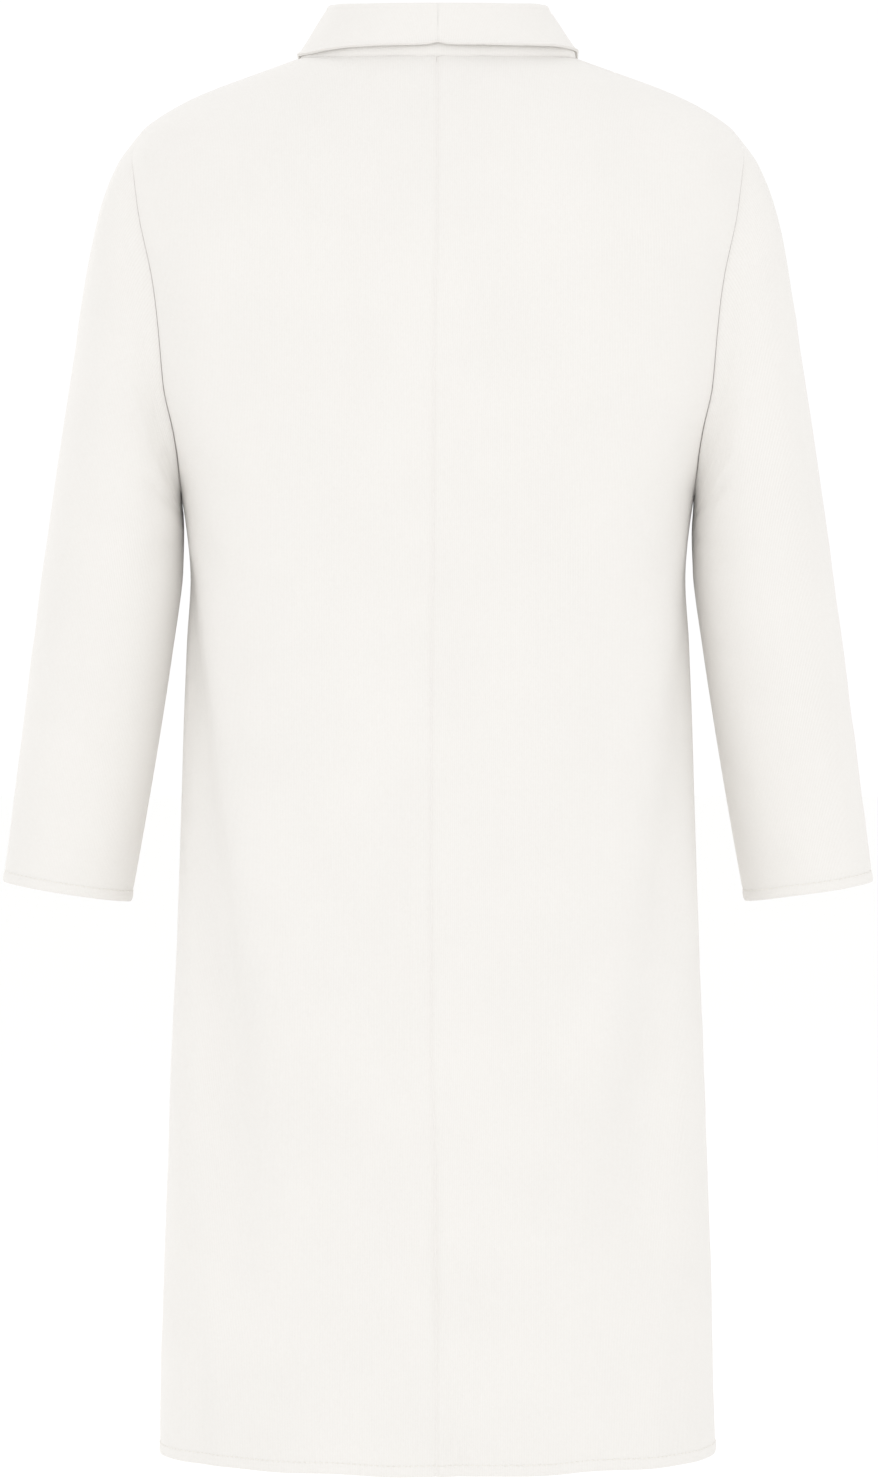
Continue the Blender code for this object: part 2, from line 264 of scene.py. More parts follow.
@dataclass(frozen=True)
class KnitFinish:
    """Fine dense plain knit in brushed off-white yarn, matt with a faint halo of fibre."""

    # Yarn with no gloss, knitted close and brushed: the eye sees one even, matt, off-white face,
    # with hardly any highlight and a soft pale edge where the fibre stands against the light.
    name: str = "fine_off_white_knit"
    # The crest colour is the yarn's own; the darker second colour is painted shade, laid between
    # the loops where they shade each other.
    crest: str = "EBE9E6"
    hollow_painted_shade: str = "E4E1DD"
    # A loop of a fine coat knit. It shows as a soft grain from the camera and as columns close
    # up, so it keeps its real width and height.
    wale: float = 0.0013
    course: float = 0.0010
    slant: float = 1.3
    loop_depth: float = 0.00016
    loop_strength: float = 0.45
    # Fibre is finer than this noise, which is as coarse as it needs to be to show at all.
    fibre_scale: float = 420.0
    fibre_depth: float = 0.00012
    fibre_strength: float = 0.5
    # Clouds a hand wide, where the yarn is a little lighter or darker.
    cloud_scale: float = 14.0
    darkest: float = 0.99
    lightest: float = 1.008
    roughness: float = 0.88
    roughness_spread: float = 0.08
    sheen: float = 0.14
    sheen_roughness: float = 0.5
    gloss: float = 0.12

    def material(self) -> Any:
        """Build the knit: loops in columns, brushed fibre, faint unevenness of the yarn."""
        made = bpy.data.materials.new(self.name)
        made.use_nodes = True
        tree = made.node_tree
        shader = tree.nodes["Principled BSDF"]
        loops = self._loops(tree)
        fibre = self._fibre(tree)
        shade = self._shade(tree, loops, fibre)
        tree.links.new(shade, shader.inputs["Base Color"])
        rough = add_node(
            tree, "ShaderNodeMath",
            {
                "operation": "MULTIPLY_ADD", 1: self.roughness_spread,
                2: self.roughness - self.roughness_spread / 2.0,
            },
            {0: fibre},
        )
        tree.links.new(rough.outputs[0], shader.inputs["Roughness"])
        tree.links.new(self._relief(tree, loops, fibre), shader.inputs["Normal"])
        shader.inputs["Sheen Weight"].default_value = self.sheen
        shader.inputs["Sheen Roughness"].default_value = self.sheen_roughness
        shader.inputs["Specular IOR Level"].default_value = self.gloss
        return made

    def _loops(self, tree: Any) -> Any:
        """Draw the columns of V-shaped loops, at the real size of a fine knit.

        Args:
            tree: The material's node tree.

        Returns:
            A socket that is 1 on the crest of a loop and 0 between loops.
        """
        cloth = add_node(tree, "ShaderNodeUVMap", {"uv_map": "cloth"}, {})
        parts = add_node(tree, "ShaderNodeSeparateXYZ", {}, {0: cloth.outputs[0]})
        across = add_node(
            tree, "ShaderNodeMath", {"operation": "DIVIDE", 1: self.wale}, {0: parts.outputs[0]}
        )
        along = add_node(
            tree, "ShaderNodeMath", {"operation": "DIVIDE", 1: self.course}, {0: parts.outputs[1]}
        )
        column = add_node(
            tree, "ShaderNodeMath", {"operation": "PINGPONG", 1: 0.5}, {0: across.outputs[0]}
        )
        slanted = add_node(
            tree, "ShaderNodeMath",
            {"operation": "MULTIPLY_ADD", 1: self.slant},
            {0: column.outputs[0], 2: along.outputs[0]},
        )
        row = add_node(
            tree, "ShaderNodeMath", {"operation": "PINGPONG", 1: 0.5}, {0: slanted.outputs[0]}
        )
        turned = add_node(
            tree, "ShaderNodeMath", {"operation": "MULTIPLY", 1: math.pi}, {0: column.outputs[0]}
        )
        rounded = add_node(tree, "ShaderNodeMath", {"operation": "SINE"}, {0: turned.outputs[0]})
        bead = add_node(
            tree, "ShaderNodeMath", {"operation": "MULTIPLY_ADD", 1: 0.9, 2: 0.55},
            {0: row.outputs[0]},
        )
        both = add_node(
            tree, "ShaderNodeMath", {"operation": "MULTIPLY", "use_clamp": True},
            {0: rounded.outputs[0], 1: bead.outputs[0]},
        )
        return both.outputs[0]

    def _fibre(self, tree: Any) -> Any:
        """Draw the brushed fibre that lies over the loops, as fine soft noise."""
        place = add_node(tree, "ShaderNodeTexCoord", {}, {})
        noise = add_node(
            tree, "ShaderNodeTexNoise",
            {"Scale": self.fibre_scale, "Detail": 4.0, "Roughness": 0.62, "Distortion": 0.4},
            {"Vector": place.outputs["Object"]},
        )
        return noise.outputs[0]

    def _shade(self, tree: Any, loops: Any, fibre: Any) -> Any:
        """Colour the yarn, with painted shade between the loops and faint clouds of uneven yarn.

        Args:
            tree: The material's node tree.
            loops: The loop pattern's socket.
            fibre: The fibre pattern's socket.

        Returns:
            The colour socket.
        """
        crest, hollow_painted_shade = linear_colour(self.crest), linear_colour(self.hollow_painted_shade)
        lying = add_node(tree, "ShaderNodeMath", {"operation": "MULTIPLY", 1: 0.65}, {0: fibre})
        # Painted shade: the loops, with a share of the fibre, mix the yarn from its darker
        # painted-shade colour between the loops up to its own colour on the crests.
        painted_shade_mask = add_node(
            tree, "ShaderNodeMath", {"operation": "MULTIPLY_ADD", 1: 0.55, "use_clamp": True},
            {0: loops, 2: lying.outputs[0]},
        )
        yarn = add_node(
            tree, "ShaderNodeMix", {"data_type": "RGBA", 6: hollow_painted_shade, 7: crest},
            {0: painted_shade_mask.outputs[0]},
        )
        place = add_node(tree, "ShaderNodeTexCoord", {}, {})
        cloud = add_node(
            tree, "ShaderNodeTexNoise",
            {"Scale": self.cloud_scale, "Detail": 3.0, "Roughness": 0.55},
            {"Vector": place.outputs["Object"]},
        )
        level = add_node(
            tree, "ShaderNodeMapRange", {1: 0.3, 2: 0.7, 3: self.darkest, 4: self.lightest},
            {0: cloud.outputs[0]},
        )
        toned = add_node(
            tree, "ShaderNodeVectorMath", {"operation": "SCALE"},
            {0: yarn.outputs[2], 3: level.outputs[0]},
        )
        return toned.outputs[0]

    def _relief(self, tree: Any, loops: Any, fibre: Any) -> Any:
        """Raise the loops and the fibre as bump.

        Args:
            tree: The material's node tree.
            loops: The loop pattern's socket.
            fibre: The fibre pattern's socket.

        Returns:
            The normal socket.
        """
        low = add_node(
            tree, "ShaderNodeBump",
            {"Strength": self.loop_strength, "Distance": self.loop_depth}, {"Height": loops},
        )
        high = add_node(
            tree, "ShaderNodeBump",
            {"Strength": self.fibre_strength, "Distance": self.fibre_depth},
            {"Height": fibre, "Normal": low.outputs[0]},
        )
        return high.outputs[0]


@dataclass(frozen=True)
class ThreadFinish:
    """Spun sewing thread in the colour of the knit, a little glossier and twisted."""

    # Tight hard thread catches more light than the brushed knit, so each stitch reads as a small
    # clean bead. The twist is finer than it is drawn, or it wouldn't show at all.
    name: str = "off_white_sewing_thread"
    colour: str = "ECE9E2"
    twist_scale: float = 130.0
    twist_depth: float = 0.00008
    roughness: float = 0.62
    sheen: float = 0.15

    def material(self) -> Any:
        """Build the thread with a fine twist across it."""
        made = bpy.data.materials.new(self.name)
        made.use_nodes = True
        tree = made.node_tree
        shader = tree.nodes["Principled BSDF"]
        shader.inputs["Base Color"].default_value = linear_colour(self.colour)
        shader.inputs["Roughness"].default_value = self.roughness
        shader.inputs["Sheen Weight"].default_value = self.sheen
        place = add_node(tree, "ShaderNodeTexCoord", {}, {})
        ply = add_node(
            tree, "ShaderNodeTexWave",
            {"bands_direction": "DIAGONAL", "Scale": self.twist_scale, "Distortion": 0.5},
            {"Vector": place.outputs["Object"]},
        )
        bump = add_node(
            tree, "ShaderNodeBump", {"Strength": 0.4, "Distance": self.twist_depth},
            {"Height": ply.outputs["Fac"]},
        )
        tree.links.new(bump.outputs[0], shader.inputs["Normal"])
        return made


@dataclass(frozen=True)
class FloorFinish:
    """Plain pale matt studio floor."""

    # Flat paint with no gloss: the ground stays one even pale field with a soft shadow at most.
    name: str = "pale_matt_floor"
    colour: str = "FDFDFC"
    roughness: float = 0.9
    gloss: float = 0.1

    def material(self) -> Any:
        """Build the floor's plain matt paint."""
        made = bpy.data.materials.new(self.name)
        made.use_nodes = True
        shader = made.node_tree.nodes["Principled BSDF"]
        shader.inputs["Base Color"].default_value = linear_colour(self.colour)
        shader.inputs["Roughness"].default_value = self.roughness
        shader.inputs["Specular IOR Level"].default_value = self.gloss
        return made


@dataclass
class BodyForm:
    """The filled-out form that the body panels hang in, ring by level ring."""

    half_width: SmoothTable = SmoothTable((
        (-1.075, 0.2080), (-0.925, 0.2045), (-0.800, 0.2008), (-0.680, 0.1985), (-0.560, 0.1955),
        (-0.440, 0.1930), (-0.380, 0.1890), (-0.325, 0.1925), (-0.300, 0.1995), (-0.279, 0.2070),
        (-0.241, 0.2210), (-0.165, 0.2320), (-0.109, 0.2385), (-0.076, 0.2370), (-0.052, 0.2240),
        (-0.043, 0.2135), (-0.030, 0.1920), (-0.020, 0.1700), (-0.011, 0.1460), (-0.002, 0.1210),
        (0.004, 0.1040), (0.012, 0.0800),
    ))
    back_depth: SmoothTable = SmoothTable((
        (-1.075, 0.140), (-0.900, 0.137), (-0.700, 0.130), (-0.550, 0.122), (-0.420, 0.116),
        (-0.300, 0.120), (-0.200, 0.124), (-0.130, 0.121), (-0.080, 0.110), (-0.050, 0.098),
        (-0.020, 0.080), (0.000, 0.066), (0.012, 0.054),
    ))
    front_depth: SmoothTable = SmoothTable((
        (-1.075, 0.138), (-0.900, 0.134), (-0.700, 0.127), (-0.550, 0.121), (-0.420, 0.117),
        (-0.300, 0.122), (-0.220, 0.124), (-0.150, 0.118), (-0.100, 0.107), (-0.060, 0.094),
        (-0.030, 0.078), (0.000, 0.058), (0.012, 0.046),
    ))
    roundness: SmoothTable = SmoothTable((
        (-1.075, 2.15), (-0.500, 2.30), (-0.100, 2.30), (0.000, 2.00), (0.012, 2.00),
    ))
    front_edge_x: SmoothTable = SmoothTable((
        (-1.075, 0.064), (-0.600, 0.060), (-0.250, 0.058), (-0.055, 0.056),
    ))
    trough_place: SmoothTable = SmoothTable((
        (-1.075, 0.50), (-0.900, 0.56), (-0.700, 0.68), (-0.500, 0.82), (-0.380, 0.93),
    ))
    trough_depth: SmoothTable = SmoothTable((
        (-1.075, 0.002), (-0.900, 0.005), (-0.700, 0.008), (-0.480, 0.007), (-0.360, 0.0),
    ))
    flare_depth: SmoothTable = SmoothTable((
        (-1.075, 0.007), (-0.800, 0.005), (-0.550, 0.0), (-0.300, 0.0),
    ))
    trough_half_width: float = 0.13
    shoulder_rows: tuple[float, ...] = (0.004, -0.008, -0.020, -0.035, -0.052)
    heights: Array = field(init=False)
    rings: dict[Face, Array] = field(init=False)
    lengths: dict[Face, Array] = field(init=False)
    armhole: dict[Face, Array] = field(init=False)
    neck_spots: Array = field(init=False)
    edge_places: Array = field(init=False)

    def __post_init__(self) -> None:
        """Lay out the level rings, the armholes, the front edge and the front's neck seam."""
        self.heights = np.linspace(-1.080, 0.012, 875)
        self.rings, self.lengths = {}, {}
        for face in Face:
            self.rings[face], self.lengths[face] = self._quarters(face)
        turns = np.linspace(0.0, math.pi, 181)
        self.armhole = {
            face: np.array([self._armhole_place(turn, face) for turn in turns]) for face in Face
        }
        self.edge_places = np.array([
            self.place_of(z, Face.FRONT, 0, float(self.front_edge_x.at(z))) for z in self.heights
        ])
        self.neck_spots = np.array([self._neck_spot(a) for a in np.linspace(0.0, 1.0, 121)])

    def radius_at(self, angle: Array, z: Array) -> Array:
        """Distance from the middle to the body's face.

        Args:
            angle: Angle from the centre back, in radians.
            z: Height.

        Returns:
            The distance at each angle and height.
        """
        at_back = np.cos(angle) > 0.0
        depth = np.where(at_back, self.back_depth.at(z), self.front_depth.at(z))
        power = self.roundness.at(z)
        across = np.abs(np.sin(angle)) / self.half_width.at(z)
        return (across**power + (np.abs(np.cos(angle)) / depth) ** power) ** (-1.0 / power)

    def height_at(self, angle: Array, radius: Array) -> Array:
        """Height near the neck and shoulder where the body's face is this far from the middle.

        Args:
            angle: Angle from the centre back, in radians.
            radius: Distance from the middle.

        Returns:
            The height at each place.
        """
        low, high = np.full(np.shape(radius), -0.12), np.full(np.shape(radius), 0.012)
        for _ in range(24):
            middle = (low + high) / 2.0
            wide = self.radius_at(angle, middle) > radius
            low, high = np.where(wide, middle, low), np.where(wide, high, middle)
        return low

    def _quarters(self, face: Face) -> tuple[Array, Array]:
        """Lay out one quarter of every ring, evenly by length from the centre to the side.

        Args:
            face: Back or front.

        Returns:
            Points by height and place, and each quarter's length.
        """
        angles = np.linspace(0.0, math.pi / 2.0, 91)
        angles = math.pi - angles if face is Face.FRONT else angles
        radii = self.radius_at(angles[None, :], self.heights[:, None])
        raw = np.stack([radii * np.sin(angles), radii * np.cos(angles)], axis=2)
        steps = np.linalg.norm(np.diff(raw, axis=1), axis=2)
        ways = np.concatenate([np.zeros((len(raw), 1)), np.cumsum(steps, axis=1)], axis=1)
        spots = np.linspace(0.0, 1.0, 161)
        rings = np.empty((len(raw), len(spots), 2))
        for i, way in enumerate(ways):
            for axis in (0, 1):
                rings[i, :, axis] = np.interp(spots * way[-1], way, raw[i, :, axis])
        return rings, ways[:, -1]

    def place_of(self, z: float, face: Face, axis: int, value: float) -> float:
        """Place round the quarter where the ring has this x or this depth.

        Args:
            z: Height.
            face: Back or front.
            axis: 0 for x, 1 for depth.
            value: The x or depth looked for.

        Returns:
            The place, from 0 at the centre line to 1 at the side.
        """
        i = int(np.clip(np.searchsorted(self.heights, z), 1, len(self.heights) - 1))
        t = (z - self.heights[i - 1]) / (self.heights[i] - self.heights[i - 1])
        ring = self.rings[face][i - 1] * (1.0 - t) + self.rings[face][i] * t
        found, spots = np.abs(ring[:, axis]), np.linspace(0.0, 1.0, ring.shape[0])
        if axis == 1:
            return float(np.interp(value, found[::-1], spots[::-1]))
        return float(np.interp(value, found, spots))

    def _armhole_place(self, turn: float, face: Face) -> float:
        """Place of the armhole's edge at a turn from the shoulder tip to the armpit."""
        depth = ARMHOLE_HALF_DEPTH * math.sin(turn)
        return self.place_of(float(armhole_height(turn)), face, 1, depth)

    def _neck_spot(self, across: float) -> tuple[float, float]:
        """Place and height of the front's neck seam.

        Args:
            across: From 0 at the front edge to 1 at the shoulder seam.

        Returns:
            The place round the quarter and the height.
        """
        turn = (1.0 - across) * math.pi / 2.0
        edge_x = float(self.front_edge_x.at(FRONT_EDGE_TOP_Z))
        neck_x = float(self.half_width.at(self.shoulder_rows[0]))
        x = edge_x + (neck_x - edge_x) * math.cos(turn)
        y = FRONT_NECK_REACH * math.sin(turn)
        angle, radius = math.pi - math.atan2(x, y), math.hypot(x, y)
        z = float(self.height_at(np.array(angle), np.array(radius)))
        axis, value = (1, y) if across > 0.5 else (0, x)
        return self.place_of(z, Face.FRONT, axis, value), z

    def ring_point(self, place: Array, z: Array, face: Face) -> Array:
        """Point of the plain form, with no folds.

        Args:
            place: From 0 at the centre line to 1 at the side.
            z: Height.
            face: Back or front.

        Returns:
            The points.
        """
        ring = self.rings[face]
        u = np.clip(place, 0.0, 1.0) * (ring.shape[1] - 1)
        v = (z - self.heights[0]) / (self.heights[1] - self.heights[0])
        v = np.clip(v, 0.0, len(self.heights) - 1.001)
        i, j = v.astype(int), np.minimum(u.astype(int), ring.shape[1] - 2)
        fv, fu = (v - i)[..., None], (u - j)[..., None]
        low = ring[i, j] * (1.0 - fu) + ring[i, j + 1] * fu
        high = ring[i + 1, j] * (1.0 - fu) + ring[i + 1, j + 1] * fu
        flat = low * (1.0 - fv) + high * fv
        return np.concatenate([flat, np.asarray(z)[..., None]], axis=-1)

    def point(self, place: Array, z: Array, face: Face) -> Array:
        """Point of the body's outer face, with the long troughs from the armpits.

        Args:
            place: From 0 at the centre line to 1 at the side.
            z: Height.
            face: Back or front.

        Returns:
            The points.
        """
        spot = self.ring_point(place, z, face)
        offset = (place - self.trough_place.at(z)) / self.trough_half_width
        inward = self.trough_depth.at(z) * np.exp(-offset * offset)
        beyond = np.clip(0.5 + 0.6 * offset, 0.0, 1.0)
        fade = np.maximum(1.0 - np.maximum(0.0, (place - 0.85) / 0.15) ** 2, 0.0)
        out = self.flare_depth.at(z) * beyond * fade - inward
        spot[..., :2] *= (1.0 + out / np.hypot(spot[..., 0], spot[..., 1]))[..., None]
        return spot

    def quarter_length(self, z: Array, face: Face) -> Array:
        """Length of a quarter ring at a height."""
        return np.interp(z, self.heights, self.lengths[face])

    def side_height(self, row: Array) -> Array:
        """Height of a panel's row at its side: shoulder seam, armhole, then side seam."""
        shoulder = np.interp(row, np.arange(5), self.shoulder_rows)
        turn = np.clip((row - ARMHOLE_FIRST_ROW) / (ARMPIT_ROW - ARMHOLE_FIRST_ROW), 0.0, 1.0)
        low = ARMPIT_Z + (HEM_Z - ARMPIT_Z) * (row - ARMPIT_ROW) / (HEM_ROW - ARMPIT_ROW)
        upper = np.where(row < ARMHOLE_FIRST_ROW, shoulder, armhole_height(turn * math.pi))
        return np.where(row > ARMPIT_ROW, low, upper)

    def spot(self, across: Array, row: Array, face: Face) -> tuple[Array, Array]:
        """Place and height on the body for a panel's grid.

        Args:
            across: From 0 at the panel's centre edge to 1 at its side.
            row: From 0 at the neck and shoulder to 27 at the hem.
            face: Back or front.

        Returns:
            The places round the quarter and the heights.
        """
        top = FRONT_EDGE_TOP_Z if face is Face.FRONT else NECK_BACK_Z
        high = top + (ARMPIT_Z - top) * row / ARMPIT_ROW
        low = ARMPIT_Z + (HEM_Z - ARMPIT_Z) * (row - ARMPIT_ROW) / (HEM_ROW - ARMPIT_ROW)
        centre = np.where(row > ARMPIT_ROW, low, high)
        eased = across * across * (3.0 - 2.0 * across)
        z = centre + (self.side_height(row) - centre) * eased
        turn = np.clip((row - ARMHOLE_FIRST_ROW) / (ARMPIT_ROW - ARMHOLE_FIRST_ROW), 0.0, 1.0)
        outer = np.interp(turn, np.linspace(0.0, 1.0, 181), self.armhole[face])
        if face is Face.BACK:
            return outer * across, z
        inner = np.interp(z, self.heights, self.edge_places)
        place = inner + (outer - inner) * across
        fade = np.maximum(0.0, 1.0 - row / 8.0)
        samples = np.linspace(0.0, 1.0, len(self.neck_spots))
        top_place = np.interp(across, samples, self.neck_spots[:, 0])
        top_z = np.interp(across, samples, self.neck_spots[:, 1])
        first_z = top + (self.shoulder_rows[0] - top) * eased
        first_inner = np.interp(first_z, self.heights, self.edge_places)
        first = first_inner + (1.0 - first_inner) * across
        return place + (top_place - first) * fade, z + (top_z - first_z) * fade

    def armhole_point(self, turn: Array) -> Array:
        """Point of the armhole's edge at a turn from the shoulder tip, by the back."""
        folded = np.arccos(np.clip(np.cos(turn), -1.0, 1.0))
        z = armhole_height(folded)
        ways = np.linspace(0.0, math.pi, 181)
        found = {
            face: self.point(np.interp(folded, ways, self.armhole[face]), z, face) for face in Face
        }
        at_front = (np.sin(turn) < 0.0)[..., None]
        return np.where(at_front, found[Face.FRONT], found[Face.BACK])

    def neckline_point(self, way: Array) -> Array:
        """Point of the neck seam, from 0 at the centre back to 1 at the front edge's top."""
        row = np.zeros(np.shape(way))
        back = self.point(*self.spot(np.clip(2.0 * way, 0.0, 1.0), row, Face.BACK), Face.BACK)
        across = np.clip(2.0 * (1.0 - way), 0.0, 1.0)
        front = self.point(*self.spot(across, row, Face.FRONT), Face.FRONT)
        return np.where((way > 0.5)[..., None], front, back)


def armhole_height(turn: Array | float) -> Array:
    """Height on the armhole at a turn from 0 at the shoulder tip to pi at the armpit."""
    middle = (SHOULDER_TIP_Z + ARMPIT_Z) / 2.0
    return middle + (SHOULDER_TIP_Z - ARMPIT_Z) / 2.0 * np.cos(turn)


def graded(length: float, fine: float, coarse: float, growth: float = 1.35) -> Array:
    """Share a length into steps that are fine at both ends and coarse between.

    Args:
        length: The whole length, in metres.
        fine: The first step.
        coarse: The largest step.
        growth: How much each step grows on the last.

    Returns:
        Places from 0 to 1.
    """
    steps: list[float] = []
    step = fine
    while sum(steps) + step < length / 2.0:
        steps.append(step)
        step = min(step * growth, coarse)
    half = np.concatenate([[0.0], np.cumsum(steps)])
    half = half / (half[-1] + step / 2.0) * 0.5
    return np.concatenate([half, 1.0 - half[::-1]])


def clear_selection() -> None:
    """Deselect everything, so that an operator acts on the new piece alone."""
    bpy.ops.object.select_all(action="DESELECT")
    bpy.context.view_layer.objects.active = None


@dataclass
class Shell:
    """A cloth shell's outer face as a grid of points, with what is needed to relieve it."""

    points: Array
    across: Array
    along: Array

    def normals(self) -> Array:
        """Give the outward normal at every grid point."""
        down = np.gradient(self.points, axis=0)
        over = np.gradient(self.points, axis=1)
        normal = np.cross(over, down)
        return normal / np.maximum(np.linalg.norm(normal, axis=2, keepdims=True), 1e-12)

    def edge_distances(self) -> dict[str, Array]:
        """Give each grid point's distance along the cloth from the grid's four edges."""
        over = np.linalg.norm(np.diff(self.points, axis=1), axis=2)
        down = np.linalg.norm(np.diff(self.points, axis=0), axis=2)
        first = np.concatenate([np.zeros((over.shape[0], 1)), np.cumsum(over, axis=1)], axis=1)
        top = np.concatenate([np.zeros((1, down.shape[1])), np.cumsum(down, axis=0)], axis=0)
        last, bottom = first[:, -1:] - first, top[-1:] - top
        return {"first": first, "last": last, "top": top, "bottom": bottom}


@dataclass
class ClothPiece:
    """One cut piece of knit: a shell with seams, turned hems and folds, sewn as it hangs."""

    side: Side
    form: BodyForm
    knit: Any
    thread: Any
    held: Held = Held.HUNG
    wall_offset: float = -1.0
    closed: bool = False

    @property
    def outward(self) -> float:
        """Say whether the grid's own normals point out of the garment, 1, or into it, -1."""
        return -1.0

    @property
    def node(self) -> str:
        """Name of the solid that the piece stands for."""
        raise NotImplementedError

    def shell(self) -> Shell:
        """Lay out the outer face."""
        raise NotImplementedError

    def edges(self) -> dict[str, Edge]:
        """Say how each of the grid's edges is finished."""
        raise NotImplementedError

    def creases(self) -> Sequence[Crease]:
        """List the folds, in the piece's own sizes."""
        return ()

    def flat(self) -> tuple[tuple[float, float], float]:
        """Give the cut's width and length and its flat area."""
        raise NotImplementedError

    def relief(self, shell: Shell) -> Array:
        """Work out how far each point moves out from the plain form.

        Args:
            shell: The plain outer face.

        Returns:
            The move along the normal at each grid point, in metres.
        """
        moved = np.zeros(shell.across.shape)
        for crease in self.creases():
            moved -= crease.press(shell.across, shell.along)
        seed = 11 + 5 * (self.side is Side.LEFT)
        for extra, (height, cell) in enumerate(UNEVENNESS):
            moved += height * SoftNoise(seed + extra, cell).at(shell.across, shell.along)
        distances = shell.edge_distances()
        for name, edge in self.edges().items():
            if edge is not Edge.TURNED:
                near = np.clip(distances[name] / SEAM_EASE, 0.0, 1.0)
                moved *= near * near * (3.0 - 2.0 * near)
        for name, edge in self.edges().items():
            moved += self._edge_relief(distances[name], edge)
        return moved

    @staticmethod
    def _edge_relief(away: Array, edge: Edge) -> Array:
        """Shape the cloth beside one edge.

        Args:
            away: Distance from the edge, in metres.
            edge: How it is finished.

        Returns:
            The move along the normal.
        """
        if edge is not Edge.TURNED:
            # The cloth dips into the seam, and its allowance lifts it a little beside the dip.
            dip_width, allowance_place, allowance_width = 0.0013, 0.0055, 0.0035
            roll = -edge.value * np.exp(-((away / dip_width) ** 2))
            lift = np.exp(-(((away - allowance_place) / allowance_width) ** 2))
            return roll + 0.5 * edge.value * lift
        # The fold is round, the hem is doubled up to the stitches, and they draw a groove.
        round_depth, round_width, groove_width = 0.0007, 0.0012, 0.0011
        doubled_height, doubled_blend = 0.00055, 0.0006
        roll = -round_depth * np.exp(-((away / round_width) ** 2))
        groove = -edge.value * np.exp(-(((away - HEM_TURN) / groove_width) ** 2))
        doubled = doubled_height / (1.0 + np.exp((away - HEM_TURN) / doubled_blend))
        return roll + groove + doubled

    def build(self) -> list[Any]:
        """Returns:
            The made objects, the cloth first.
        """
        plain = self.shell()
        normals = plain.normals() * self.outward
        points = plain.points + normals * self.relief(plain)[..., None]
        relieved = Shell(self.settle(points, plain), plain.across, plain.along)
        piece = self._mesh(relieved)
        self._thicken(piece)
        piece.data.materials.append(self.knit)
        stitching = self.stitching(relieved)
        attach(piece, "root")
        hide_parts(self.node)
        return [piece, *stitching]

    def settle(self, points: Array, plain: Shell) -> Array:
        """Make the last small moves that aren't along the normal."""
        return points

    def _mesh(self, shell: Shell) -> Any:
        """Turn the grid of points into a mesh with a cloth UV map in metres.

        Args:
            shell: The relieved outer face, for the wearer's left.

        Returns:
            The new object, with its faces outward.
        """
        rows, columns = shell.across.shape
        clear_selection()
        bpy.ops.mesh.primitive_grid_add(
            x_subdivisions=columns - 1, y_subdivisions=rows - 1, size=1.0
        )
        piece = bpy.context.object
        piece.name = piece.data.name = f"{self.node}_cloth"
        mesh = piece.data
        flat = np.empty(len(mesh.vertices) * 3, np.float32)
        mesh.vertices.foreach_get("co", flat)
        flat = flat.reshape(-1, 3)
        j = np.rint((flat[:, 0] + 0.5) * (columns - 1)).astype(int)
        i = np.rint((0.5 - flat[:, 1]) * (rows - 1)).astype(int)
        placed = shell.points[i, j] * np.array([self.side.value, 1.0, 1.0])
        mesh.vertices.foreach_set("co", placed.astype(np.float32).ravel())
        while mesh.uv_layers:
            mesh.uv_layers.remove(mesh.uv_layers[0])
        layer = mesh.uv_layers.new(name="cloth")
        corner = np.empty(len(mesh.loops), np.int32)
        mesh.loops.foreach_get("vertex_index", corner)
        spots = np.stack([shell.across[i, j], shell.along[i, j]], axis=1)[corner]
        layer.data.foreach_set("uv", spots.astype(np.float32).ravel())
        self._face_outward(piece, shell, i, j)
        if self.closed:
            bpy.ops.object.mode_set(mode="EDIT")
            bpy.ops.mesh.select_all(action="SELECT")
            bpy.ops.mesh.remove_doubles(threshold=0.00001)
            bpy.ops.object.mode_set(mode="OBJECT")
        return piece

    def _face_outward(self, piece: Any, shell: Shell, i: Array, j: Array) -> None:
        """Turn the faces to point out of the garment.

        Args:
            piece: The cloth object.
            shell: Its grid of points.
            i: Each vertex's row.
            j: Each vertex's column.
        """
        mesh = piece.data
        mesh.update()
        wanted = (shell.normals() * self.outward)[i, j] * np.array([self.side.value, 1.0, 1.0])
        found = np.empty(len(mesh.vertices) * 3, np.float32)
        mesh.vertices.foreach_get("normal", found)
        if float((found.reshape(-1, 3) * wanted).sum()) < 0.0:
            mesh.flip_normals()
            mesh.update()

    def _thicken(self, piece: Any) -> None:
        """Give the cloth its wall and smooth shading."""
        clear_selection()
        piece.select_set(True)
        bpy.context.view_layer.objects.active = piece
        wall = piece.modifiers.new("wall", "SOLIDIFY")
        wall.thickness = WALL
        wall.offset = self.wall_offset
        wall.use_even_offset = True
        bpy.ops.object.modifier_apply(modifier=wall.name)
        bpy.ops.object.shade_smooth_by_angle(angle=math.radians(50.0))

    def stitching(self, shell: Shell) -> list[Any]:
        """Sew the row of stitches that holds each turned edge.

        Args:
            shell: The relieved outer face.

        Returns:
            One object for each row of stitches.
        """
        made = []
        distances = shell.edge_distances()
        normals = shell.normals() * self.outward
        for name, edge in self.edges().items():
            if edge is Edge.TURNED:
                line, up = self._line_at(shell, normals, distances[name], name)
                row = StitchRow(f"{self.node}_{name}_stitches", line, up, self.side)
                made.append(row.build(self.thread, f"{self.node}_knit"))
        return made

